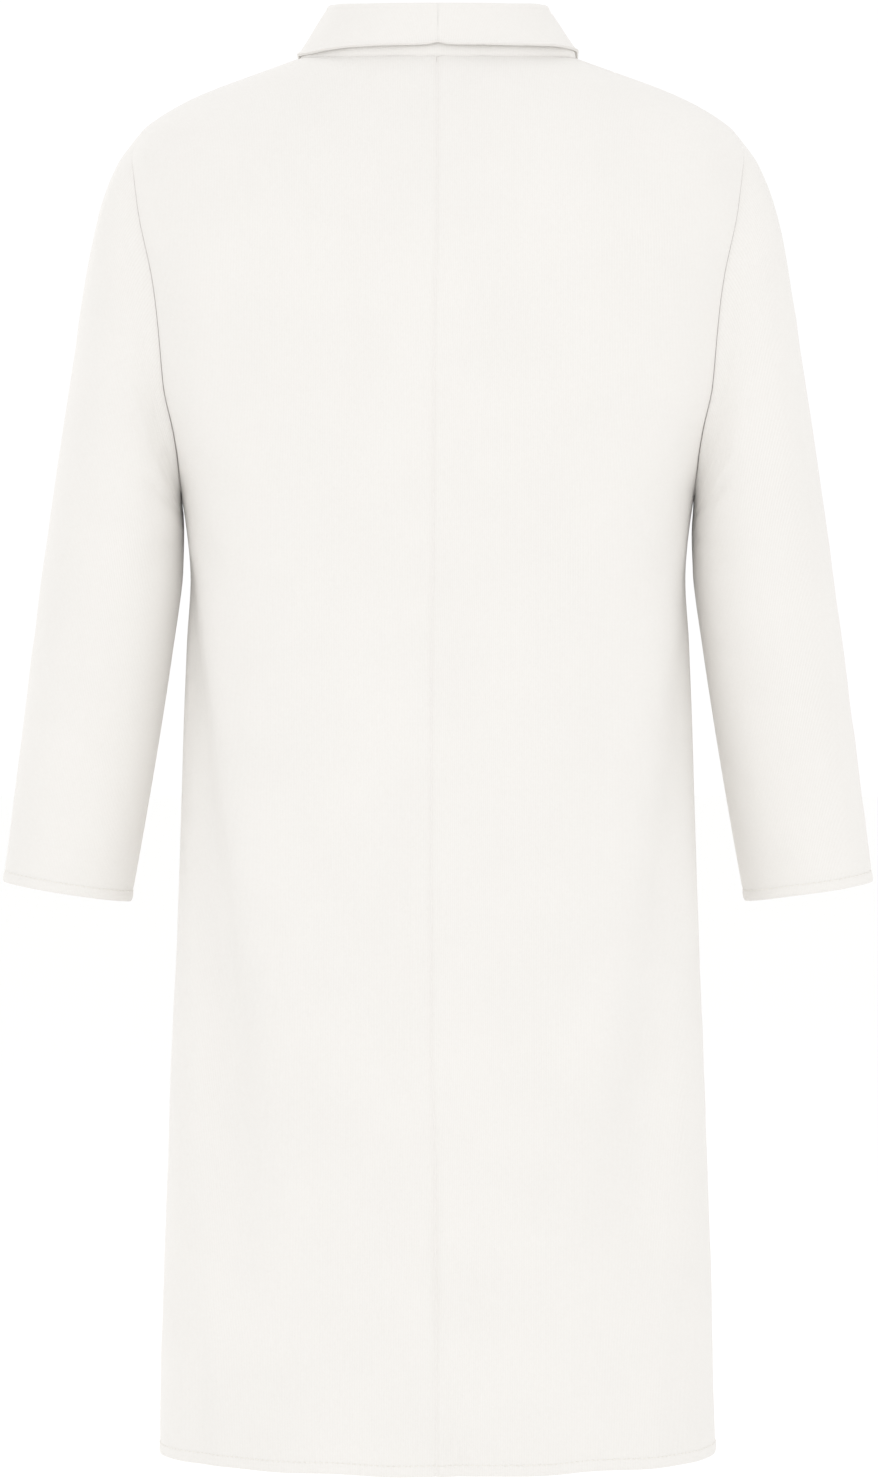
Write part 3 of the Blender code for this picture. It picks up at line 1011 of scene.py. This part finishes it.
    @staticmethod
    def _line_at(shell: Shell, normals: Array, away: Array, name: str) -> tuple[Array, Array]:
        """Find the line on the cloth that runs beside an edge at the depth of the turned hem.

        Args:
            shell: The relieved outer face.
            normals: Its outward normals.
            away: Distance from the edge.
            name: Which of the grid's edges it is.

        Returns:
            The line's points and normals.
        """
        by_row = name in ("first", "last")
        points = shell.points if by_row else shell.points.transpose(1, 0, 2)
        facing = normals if by_row else normals.transpose(1, 0, 2)
        away = away if by_row else away.T
        line, up = [], []
        for gaps, spots, ups in zip(away, points, facing):
            order = np.argsort(gaps)
            line.append([np.interp(HEM_TURN, gaps[order], spots[order, k]) for k in range(3)])
            up.append([np.interp(HEM_TURN, gaps[order], ups[order, k]) for k in range(3)])
        return np.array(line), np.array(up)


@dataclass
class StitchRow:
    """A row of short stitches laid in the groove beside a turned edge."""

    name: str
    line: Array
    up: Array
    side: Side
    length: float = 0.0030
    pitch: float = 0.0042
    thickness: float = 0.00055
    lift: float = 0.0002

    def build(self, thread: Any, slot: str) -> Any:
        """Make the row as one mesh of many copies of one stitch.

        Args:
            thread: The thread's material.
            slot: Not used.

        Returns:
            The row's object.
        """
        corners, faces = self._stitch()
        places, along, up = self._stations()
        aside = np.cross(along, up)
        frame = np.stack([along, aside, up], axis=1)
        copies = np.einsum("vk,nkc->nvc", corners, frame) + places[:, None, :]
        copies[..., 0] *= self.side.value
        count = len(corners)
        turned = [face[:: self.side.value] for face in faces]
        every = [[c + count * n for c in face] for n in range(len(places)) for face in turned]
        mesh = bpy.data.meshes.new(self.name)
        mesh.from_pydata(copies.reshape(-1, 3).tolist(), [], every)
        mesh.update()
        row = bpy.data.objects.new(self.name, mesh)
        bpy.context.scene.collection.objects.link(row)
        mesh.polygons.foreach_set("use_smooth", [True] * len(mesh.polygons))
        mesh.materials.append(thread)
        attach(row, "root")
        return row

    def _stitch(self) -> tuple[Array, list[list[int]]]:
        """Model one stitch as a small capsule, thicker in its middle.

        Returns:
            Its points, along x, and its faces.
        """
        clear_selection()
        bpy.ops.mesh.primitive_uv_sphere_add(segments=6, ring_count=4, radius=0.5)
        ball = bpy.context.object
        points = np.array([list(vert.co) for vert in ball.data.vertices])
        faces = [list(face.vertices) for face in ball.data.polygons]
        bpy.data.objects.remove(ball, do_unlink=True)
        turned = points[:, [2, 1, 0]] * np.array([self.length, -self.thickness, self.thickness])
        return turned, faces

    def _stations(self) -> tuple[Array, Array, Array]:
        """Share the line into stitches.

        Returns:
            Each stitch's place, direction and outward normal.
        """
        steps = np.linalg.norm(np.diff(self.line, axis=0), axis=1)
        ways = np.concatenate([[0.0], np.cumsum(steps)])
        count = max(2, int(ways[-1] / self.pitch))
        spots = (np.arange(count) + 0.5) * ways[-1] / count

        def read(rows: Array, at: Array) -> Array:
            """Read a line's rows at ways along it."""
            return np.stack([np.interp(at, ways, rows[:, k]) for k in range(3)], axis=1)

        places = read(self.line, spots)
        along = read(self.line, spots + 0.001) - read(self.line, spots - 0.001)
        along /= np.linalg.norm(along, axis=1, keepdims=True)
        up = read(self.up, spots)
        up -= along * (up * along).sum(axis=1, keepdims=True)
        up /= np.linalg.norm(up, axis=1, keepdims=True)
        return places + up * self.lift, along, up


@dataclass
class BodyPanel(ClothPiece):
    """Half of the back or half of the open front, from the neck and shoulder to the hem.

    The seam wanders as it hangs: seam_wander says how far aside it lies at each height.
    """

    face: Face = Face.BACK
    fine: float = 0.0010
    coarse: float = 0.0046
    armhole_pull_width: float = 0.0016
    seam_pull: float = 0.0014
    seam_pull_width: float = 0.0050
    pucker: float = 0.00035
    pucker_width: float = 0.012
    seam_wander: SmoothTable = SmoothTable((
        (-1.075, 0.0008), (-0.940, 0.0014), (-0.820, 0.0024), (-0.740, 0.0046), (-0.560, 0.0052),
        (-0.300, 0.0034), (-0.180, 0.0022), (-0.080, 0.0012), (0.004, 0.0008),
    ))

    @property
    def outward(self) -> float:
        """Say whether the grid's own normals point out of the garment, 1, or into it, -1."""
        return 1.0 if self.face is Face.BACK else -1.0

    @property
    def node(self) -> str:
        """Name of the solid that the panel stands for."""
        return f"{self.face.value}_{self.side.word}"

    def shell(self) -> Shell:
        """Lay out the panel's outer face, finer towards its edges."""
        width = 0.27 if self.face is Face.BACK else 0.21
        across = graded(width, 0.8 * self.fine, 0.0042)
        upper = graded(0.35, self.fine, self.coarse) * ARMPIT_ROW
        lower = graded(ARMPIT_Z - HEM_Z, self.fine, self.coarse)
        lower = lower * (HEM_ROW - ARMPIT_ROW) + ARMPIT_ROW
        # The rows run evenly past the armpit, where the armhole turns into the side seam.
        start, end = ARMPIT_ROW - 0.6, ARMPIT_ROW + 0.2
        armpit = np.linspace(start, end, 8, endpoint=False)
        rows = np.concatenate([upper[upper < start], armpit, lower[lower >= end]])
        grid_across, grid_row = np.meshgrid(across, rows)
        place, z = self.form.spot(grid_across, grid_row, self.face)
        points = self.form.point(place, z, self.face)
        reach = place * self.form.quarter_length(z, self.face)
        return Shell(points, reach, z)

    def edges(self) -> dict[str, Edge]:
        """Say how the panel's edges are finished."""
        centre = Edge.CENTRE_SEAM if self.face is Face.BACK else Edge.TURNED
        return {
            "first": centre, "last": Edge.FLAT_SEAM, "top": Edge.FLAT_SEAM, "bottom": Edge.TURNED,
        }

    def creases(self) -> Sequence[Crease]:
        """List the panel's folds, by way from the centre line and height."""
        strong = 1.0 if self.side is Side.LEFT else 0.45
        if self.face is Face.FRONT:
            return (
                Crease(((0.215, -0.36), (0.190, -0.50), (0.160, -0.68)), 0.0060 * strong, 0.018),
                Crease(((0.130, -0.20), (0.125, -0.45), (0.130, -0.80)), 0.0034, 0.022),
                Crease(((0.100, -0.70), (0.096, -0.90), (0.098, -1.06)), 0.0042, 0.020),
                Crease(((0.180, -0.80), (0.176, -0.95), (0.178, -1.06)), 0.0036, 0.024),
                Crease(((0.205, -0.30), (0.150, -0.36), (0.100, -0.38)), 0.0016, 0.012),
            )
        common = (
            Crease(((0.236, -0.37), (0.226, -0.47), (0.213, -0.56), (0.194, -0.64), (0.176, -0.73),
                    (0.164, -0.86), (0.160, -0.96)), 0.0100 * strong, 0.026),
            Crease(((0.196, -0.94), (0.186, -1.00), (0.190, -1.09)), 0.0030 * strong, 0.013),
            Crease(((0.222, -0.33), (0.175, -0.385), (0.110, -0.41)), 0.0016 * strong, 0.012),
            Crease(((0.215, -0.29), (0.165, -0.32), (0.115, -0.325)), 0.0011 * strong, 0.011),
            Crease(((0.110, -0.62), (0.100, -0.85), (0.096, -1.06)), 0.0020 * strong, 0.026),
            Crease(((0.215, -0.74), (0.222, -0.90), (0.225, -1.06)), -0.0030 * strong, 0.026),
            Crease(((0.180, -0.09), (0.160, -0.14), (0.150, -0.20)), 0.0010, 0.020),
        )
        by_seam = Crease(((0.004, -0.82), (0.004, -0.91), (0.004, -0.98)), -0.0012, 0.003)
        if self.side is Side.RIGHT:
            by_seam = Crease(((0.014, -0.97), (0.015, -1.03), (0.014, -1.09)), 0.0032, 0.010)
        return (*common, by_seam)

    def relief(self, shell: Shell) -> Array:
        """Add the pull of the armhole seam and of the centre back seam to the folds."""
        moved = super().relief(shell)
        away = shell.edge_distances()["last"]
        at_armhole = np.clip((-shell.along - 0.06) / 0.05, 0.0, 1.0)
        at_armhole *= np.clip((shell.along - ARMPIT_Z) / 0.01, 0.0, 1.0)
        deeper = 0.4 + 0.6 * np.clip((-shell.along - 0.14) / 0.15, 0.0, 1.0)
        close = np.exp(-((away / self.armhole_pull_width) ** 2))
        moved -= Edge.ARMHOLE_SEAM.value * at_armhole * deeper * close
        if self.face is Face.BACK:
            reach = shell.across
            pull = 0.5 + 0.9 * np.exp(-(((shell.along + 0.90) / 0.07) ** 2))
            wave = SoftNoise(73, 0.016).at(np.zeros_like(reach), shell.along)
            moved -= self.seam_pull * pull * np.exp(-((reach / self.seam_pull_width) ** 2))
            moved += self.pucker * pull * wave * np.exp(-((reach / self.pucker_width) ** 2))
        return moved

    def settle(self, points: Array, plain: Shell) -> Array:
        """Wander the seam and the hem a little, and keep the seam edges just apart."""
        if self.face is Face.BACK:
            wander = self.seam_wander.at(plain.along)
            wander += 0.0006 * SoftNoise(91, 0.05).at(np.zeros_like(wander), plain.along)
            near = np.exp(-((plain.across / 0.04) ** 2))
            points[..., 0] += self.side.value * wander * near
            points[:, 0, 0] = SEAM_GAP / 2.0 + self.side.value * wander[:, 0]
        low = np.clip((HEM_Z + HEM_WAVE_REACH - plain.along) / HEM_WAVE_REACH, 0.0, 1.0) ** 2
        hem = SoftNoise(57 + self.side.value, HEM_WAVE_CELL)
        wave = hem.at(plain.across, np.zeros_like(plain.along))
        points[..., 2] += 0.0012 * low * wave
        return points

    def flat(self) -> tuple[tuple[float, float], float]:
        """Give the cut's width and length and its flat area."""
        if self.face is Face.BACK:
            return (0.300, 1.085), 0.281
        return (0.250, 1.085), 0.211


@dataclass
class Sleeve(ClothPiece):
    """One long sleeve, set in below a dropped shoulder, with a turned hem at the wrist."""

    closed: bool = True
    mean_radius: float = 0.053
    girth: float = 0.34
    length: float = 0.600
    armhole_reach: float = 0.45
    outer_x: SmoothTable = SmoothTable((
        (0.00, 0.2246), (0.05, 0.2420), (0.11, 0.2545), (0.17, 0.2625), (0.24, 0.2690),
        (0.33, 0.2770), (0.42, 0.2870), (0.52, 0.2980), (0.64, 0.3065), (0.76, 0.3150),
        (0.88, 0.3238), (1.00, 0.3325),
    ))
    outer_z: SmoothTable = SmoothTable((
        (0.00, -0.0520), (0.05, -0.0750), (0.11, -0.1060), (0.17, -0.1390), (0.24, -0.1760),
        (0.33, -0.2300), (0.42, -0.2960), (0.52, -0.3700), (0.64, -0.4330), (0.76, -0.4960),
        (0.88, -0.5590), (1.00, -0.6210),
    ))
    inner_x: SmoothTable = SmoothTable((
        (0.00, 0.1931), (0.17, 0.1930), (0.33, 0.1925), (0.52, 0.1935), (0.64, 0.2020),
        (0.76, 0.2120), (0.88, 0.2230), (1.00, 0.2345),
    ))
    inner_z: SmoothTable = SmoothTable((
        (0.00, -0.3250), (0.17, -0.3380), (0.33, -0.3530), (0.52, -0.3860), (0.64, -0.4480),
        (0.76, -0.5110), (0.88, -0.5740), (1.00, -0.6360),
    ))
    half_depth: SmoothTable = SmoothTable((
        (0.00, 0.058), (0.30, 0.061), (0.55, 0.058), (0.80, 0.049), (1.00, 0.040),
    ))
    forward: SmoothTable = SmoothTable(((0.00, 0.0), (0.50, 0.0), (0.76, 0.010), (1.00, 0.026)))

    @property
    def node(self) -> str:
        """Name of the solid that the sleeve stands for."""
        return f"sleeve_{self.side.word}"

    def shell(self) -> Shell:
        """Lay out the sleeve's outer face, its grid closing along the underarm seam."""
        turns = (graded(self.girth, 0.0010, 0.0040) * 2.0 - 1.0) * math.pi
        ways = graded(self.length, 0.0010, 0.0042)
        turn, way = np.meshgrid(turns, ways)
        points = self._tube(turn, way)
        return Shell(points, turn * self.mean_radius, -way * self.length)

    def _tube(self, turn: Array, way: Array) -> Array:
        """Place the sleeve's tube, from the armhole's edge to the cuff.

        Args:
            turn: Turn round the sleeve, from 0 at the shoulder tip, by the back.
            way: From 0 at the armhole to 1 at the cuff.

        Returns:
            The points.
        """
        outer_x, inner_x = self.outer_x.at(way), self.inner_x.at(way)
        outer_z, inner_z = self.outer_z.at(way), self.inner_z.at(way)
        cosine, sine = np.cos(turn), np.sin(turn)
        depth = self.half_depth.at(way)
        x = (outer_x + inner_x) / 2.0 + (outer_x - inner_x) / 2.0 * cosine
        z = (outer_z + inner_z) / 2.0 + (outer_z - inner_z) / 2.0 * cosine
        y = depth * sine - self.forward.at(way)
        fade = np.maximum(0.0, 1.0 - way / self.armhole_reach) ** 2
        start = self.form.armhole_point(turn) + np.array([SEAM_GAP, 0.0, 0.0])
        top = (self.outer_x.rows[0][1], self.outer_z.rows[0][1])
        low = (self.inner_x.rows[0][1], self.inner_z.rows[0][1])
        flat_x = (top[0] + low[0]) / 2.0 + (top[0] - low[0]) / 2.0 * cosine
        flat_z = (top[1] + low[1]) / 2.0 + (top[1] - low[1]) / 2.0 * cosine
        x = x + (start[..., 0] - flat_x) * fade
        y = y + (start[..., 1] - depth * sine) * fade
        z = z + (start[..., 2] - flat_z) * fade
        return np.stack([x, y, z], axis=-1)

    def edges(self) -> dict[str, Edge]:
        """Say how the sleeve's edges are finished."""
        return {
            "first": Edge.FLAT_SEAM, "last": Edge.FLAT_SEAM, "top": Edge.ARMHOLE_SEAM,
            "bottom": Edge.TURNED,
        }

    def creases(self) -> Sequence[Crease]:
        """List the sleeve's folds, by way round it and way down it."""
        around, down = math.pi * self.mean_radius, self.length
        strong = 1.0 if self.side is Side.LEFT else 0.8
        return (
            Crease(((0.92 * around, -0.22 * down), (0.70 * around, -0.30 * down),
                    (0.48 * around, -0.36 * down)), 0.0010 * strong, 0.012),
            Crease(((0.95 * around, -0.34 * down), (0.78 * around, -0.44 * down),
                    (0.66 * around, -0.56 * down)), 0.0010 * strong, 0.012),
            Crease(((-0.92 * around, -0.22 * down), (-0.70 * around, -0.30 * down),
                    (-0.50 * around, -0.36 * down)), 0.0034, 0.010),
            Crease(((-0.88 * around, -0.60 * down), (-0.62 * around, -0.64 * down),
                    (-0.40 * around, -0.63 * down)), 0.0038, 0.010),
            Crease(((-0.84 * around, -0.68 * down), (-0.60 * around, -0.70 * down),
                    (-0.42 * around, -0.69 * down)), 0.0030, 0.010),
            Crease(((0.35 * around, -0.12 * down), (0.42 * around, -0.30 * down),
                    (0.40 * around, -0.52 * down)), 0.0012 * strong, 0.020),
            Crease(((0.60 * around, -0.66 * down), (0.52 * around, -0.82 * down),
                    (0.50 * around, -0.96 * down)), 0.0012 * strong, 0.016),
        )

    def settle(self, points: Array, plain: Shell) -> Array:
        """Close the tube exactly, and wave its hem a little."""
        above = HEM_WAVE_REACH - self.length - plain.along
        low = np.clip(above / HEM_WAVE_REACH, 0.0, 1.0) ** 2
        hem = SoftNoise(61 + self.side.value, HEM_WAVE_CELL)
        wave = hem.at(np.cos(plain.across / self.mean_radius) * 0.05, plain.across * 0.0)
        points[..., 2] += 0.0009 * low * wave
        points[:, -1] = points[:, 0] = (points[:, 0] + points[:, -1]) / 2.0
        return points

    def flat(self) -> tuple[tuple[float, float], float]:
        """Give the cut's width and length and its flat area."""
        return (0.380, 0.610), 0.154


@dataclass
class CollarHalf(ClothPiece):
    """Half of the turned-down collar: stand, roll and fall in one, joined at the centre back."""

    held: Held = Held.FOLDED
    wall_offset: float = 0.0
    length: float = 0.27
    gap: float = 0.0005
    centre_gap: float = SEAM_GAP / 6.0
    roll_radius: float = 0.0030
    fall_clear: float = 0.0027
    steps: tuple[float, float, float] = (3.0, 4.0, 4.0)
    allowance_steps: tuple[float, float, float] = (-0.45, -0.30, -0.15)
    tuck_in: float = 0.0026
    tuck_down: float = 0.0050
    seam_share: float = 0.08
    edge_wave: float = 0.0014
    edge_curl: float = 0.0012
    edge_curl_width: float = 0.0016
    nick: float = 0.0016
    sag: float = 0.0042
    sag_place: float = 0.115
    sag_width: float = 0.038
    stand_height: SmoothTable = SmoothTable((
        (0.0, 0.0355), (0.5, 0.0355), (0.8, 0.031), (1.0, 0.026),
    ))
    stand_lean: SmoothTable = SmoothTable((
        (0.0, 0.015), (0.25, 0.018), (0.5, 0.026), (0.8, 0.018), (1.0, 0.010),
    ))
    fall_drop: SmoothTable = SmoothTable((
        (0.0, 0.0275), (0.5, 0.0304), (0.8, 0.046), (1.0, 0.060),
    ))
    fall_spread: SmoothTable = SmoothTable((
        (0.0, 0.0115), (0.4, 0.0185), (0.5, 0.0220), (0.75, 0.0245), (1.0, 0.022),
    ))

    @property
    def node(self) -> str:
        """Name of the solid that the collar half stands for."""
        return f"collar_{self.side.word}"

    def shell(self) -> Shell:
        """Lay out the collar's middle layer, from the neck seam over the roll to its edge."""
        ways = graded(self.length, 0.0009, 0.0035)
        stand, roll, fall = self.steps
        steps = np.concatenate([
            self.allowance_steps,
            np.linspace(0.0, stand, 14, endpoint=False),
            np.linspace(stand, stand + roll, 14, endpoint=False),
            stand + roll + fall * graded(0.04, 0.0010, 0.0028),
        ])
        way, step = np.meshgrid(ways, steps)
        points = self._sheet(way, step)
        down = np.linalg.norm(np.diff(points, axis=0), axis=2).mean(axis=1)
        along = np.concatenate([[0.0], np.cumsum(down)])
        return Shell(points, way * self.length, -np.repeat(along[:, None], len(ways), axis=1))

    def _sheet(self, way: Array, step: Array) -> Array:
        """Place the collar's cloth.

        Args:
            way: From 0 at the centre back to 1 at the front edge.
            step: Step of the section, up the stand, over the roll and down the fall. Below 0 it
                is the allowance, tucked in under the neck seam.

        Returns:
            The points.
        """
        stand, roll, fall = self.steps
        height, lean = self.stand_height.at(way), self.stand_lean.at(way)
        up_part = np.clip(step / stand, 0.0, 1.0)
        turn = math.pi * (1.0 - np.clip((step - stand) / roll, 0.0, 1.0))
        part = np.clip((step - stand - roll) / fall, 0.0, 1.0)
        spread = self.fall_spread.at(way) * part
        rolled = self.roll_radius * (1.0 + np.cos(turn))
        under = np.clip(step / self.allowance_steps[0], 0.0, 1.0)
        out = -lean * up_part**1.6 + rolled + spread - self.tuck_in * under**0.5
        up = height * up_part + self.roll_radius * np.sin(turn) - self.fall_drop.at(way) * part
        up = up - self.tuck_down * under
        seam = self.form.neckline_point(way)
        angle = np.arctan2(seam[..., 0], seam[..., 1])
        radius = np.hypot(seam[..., 0], seam[..., 1]) - WALL / 2.0 + out
        z = seam[..., 2] + self.gap + up
        rest = self.form.height_at(angle, radius - self.fall_clear) + 0.001
        z = np.where(part > 0.0, np.maximum(z, rest), z)
        return np.stack([radius * np.sin(angle), radius * np.cos(angle), z], axis=-1)

    def edges(self) -> dict[str, Edge]:
        """Say how the collar's edges are finished."""
        return {"first": Edge.CENTRE_SEAM}

    def relief(self, shell: Shell) -> Array:
        """Round the collar's free edge and let it wave a little."""
        distances = shell.edge_distances()
        moved = self._edge_relief(distances["first"], Edge.CENTRE_SEAM) * self.seam_share
        free = distances["bottom"]
        wave = SoftNoise(23 + self.side.value, 0.05).at(shell.across, shell.along * 0.2)
        wave *= np.clip(distances["first"] / SEAM_EASE, 0.0, 1.0)
        moved += self.edge_wave * wave * np.exp(-((free / 0.018) ** 2))
        moved -= self.edge_curl * np.exp(-((free / self.edge_curl_width) ** 2))
        moved += 0.0003 * SoftNoise(29, 0.012).at(shell.across, shell.along)
        return moved

    def settle(self, points: Array, plain: Shell) -> Array:
        """Nick the fall's edge at the centre back, and let the left half sag."""
        free = np.linalg.norm(points - points[-1:], axis=2)
        near = np.exp(-((plain.across / 0.005) ** 2)) * np.exp(-((free / 0.010) ** 2))
        points[..., 2] += self.nick * near
        if self.side is Side.LEFT:
            beside = np.exp(-(((plain.across - self.sag_place) / self.sag_width) ** 2))
            points[..., 2] -= self.sag * (beside * np.exp(-((free / 0.022) ** 2)))
        points[:, 0, 0] = self.centre_gap
        return points

    def flat(self) -> tuple[tuple[float, float], float]:
        """Give the cut's width and length and its flat area."""
        return (0.110, 0.290), 0.0220


@dataclass
class Studio:
    """The plain pale floor, the soft light and the camera behind the garment."""

    drop: float = 0.36
    camera_height: float = -0.2472
    camera_distance: float = 5.0
    frame_height: float = 1.1256
    aim: tuple[float, float, float] = (-0.0008, 0.0, -0.5122)
    sensor_mm: float = 36.0
    surround: float = 1.02
    floor_radius: float = 14.0

    def build(self) -> None:
        """Set up the camera, the world, the lights and the floor."""
        self._camera()
        self._world()
        self._light("key", (-2.7, 3.1, 0.9), 2.2, 15.0)
        self._light("fill", (2.7, 3.1, 0.6), 2.2, 12.0)
        self._light("top", (0.0, -1.5, 3.4), 3.0, 8.0)
        self._light("front", (2.6, -3.0, 1.2), 2.4, 18.0)
        self._floor()

    def _camera(self) -> None:
        """Stand the camera level with the shoulder blades, well behind the garment."""
        data = bpy.data.cameras.new("camera")
        camera = bpy.data.objects.new("camera", data)
        bpy.context.scene.collection.objects.link(camera)
        place = Vector((self.aim[0], self.camera_distance, self.camera_height))
        view = Vector(self.aim) - place
        camera.location = place
        camera.rotation_euler = view.to_track_quat("-Z", "Y").to_euler()
        data.sensor_width = self.sensor_mm
        data.lens = self.sensor_mm * view.length / self.frame_height
        data.clip_end = 100.0
        bpy.context.scene.camera = camera

    def _world(self) -> None:
        """Light everything evenly with a white surround."""
        world = bpy.data.worlds.new("surround")
        world.use_nodes = True
        sky = world.node_tree.nodes["Background"]
        sky.inputs["Color"].default_value = (1.0, 1.0, 1.0, 1.0)
        sky.inputs["Strength"].default_value = self.surround
        bpy.context.scene.world = world
        settings = bpy.context.scene.view_settings
        settings.view_transform = "Standard"
        settings.look = "None"

    @staticmethod
    def _light(name: str, place: tuple[float, float, float], size: float, power: float) -> None:
        """Hang one large soft light, aimed at the garment.

        Args:
            name: The light's name.
            place: Where it hangs.
            size: Its width.
            power: Its power in watts.
        """
        data = bpy.data.lights.new(name, "AREA")
        data.shape = "DISK"
        data.size = size
        data.energy = power
        lamp = bpy.data.objects.new(name, data)
        bpy.context.scene.collection.objects.link(lamp)
        lamp.location = place
        beam = Vector((0.0, 0.0, -0.5)) - Vector(place)
        lamp.rotation_euler = beam.to_track_quat("-Z", "Y").to_euler()

    def _floor(self) -> None:
        """Lay the plain floor below the hem."""
        clear_selection()
        bpy.ops.mesh.primitive_circle_add(
            vertices=96, radius=self.floor_radius, fill_type="NGON"
        )
        floor = bpy.context.object
        floor.name = "floor"
        floor.data.transform(Matrix.Translation((0.0, 0.0, HEM_Z - self.drop)))
        floor.data.materials.append(FloorFinish().material())


def main() -> None:
    """Build the garment's pieces in sewing order, then the studio."""
    logging.basicConfig(level=logging.INFO, format="%(message)s")
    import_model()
    form = BodyForm()
    knit, thread = KnitFinish().material(), ThreadFinish().material()
    pieces: list[ClothPiece] = []
    for side in Side:
        pieces.append(BodyPanel(side, form, knit, thread, face=Face.BACK))
        pieces.append(BodyPanel(side, form, knit, thread, face=Face.FRONT))
        pieces.append(Sleeve(side, form, knit, thread))
        pieces.append(CollarHalf(side, form, knit, thread))
    for piece in pieces:
        made = piece.build()
        faces = sum(len(thing.data.polygons) for thing in made)
        LOG.info("%s: %d objects, %d faces", piece.node, len(made), faces)
    Studio().build()


if __name__ == "__main__":
    main()
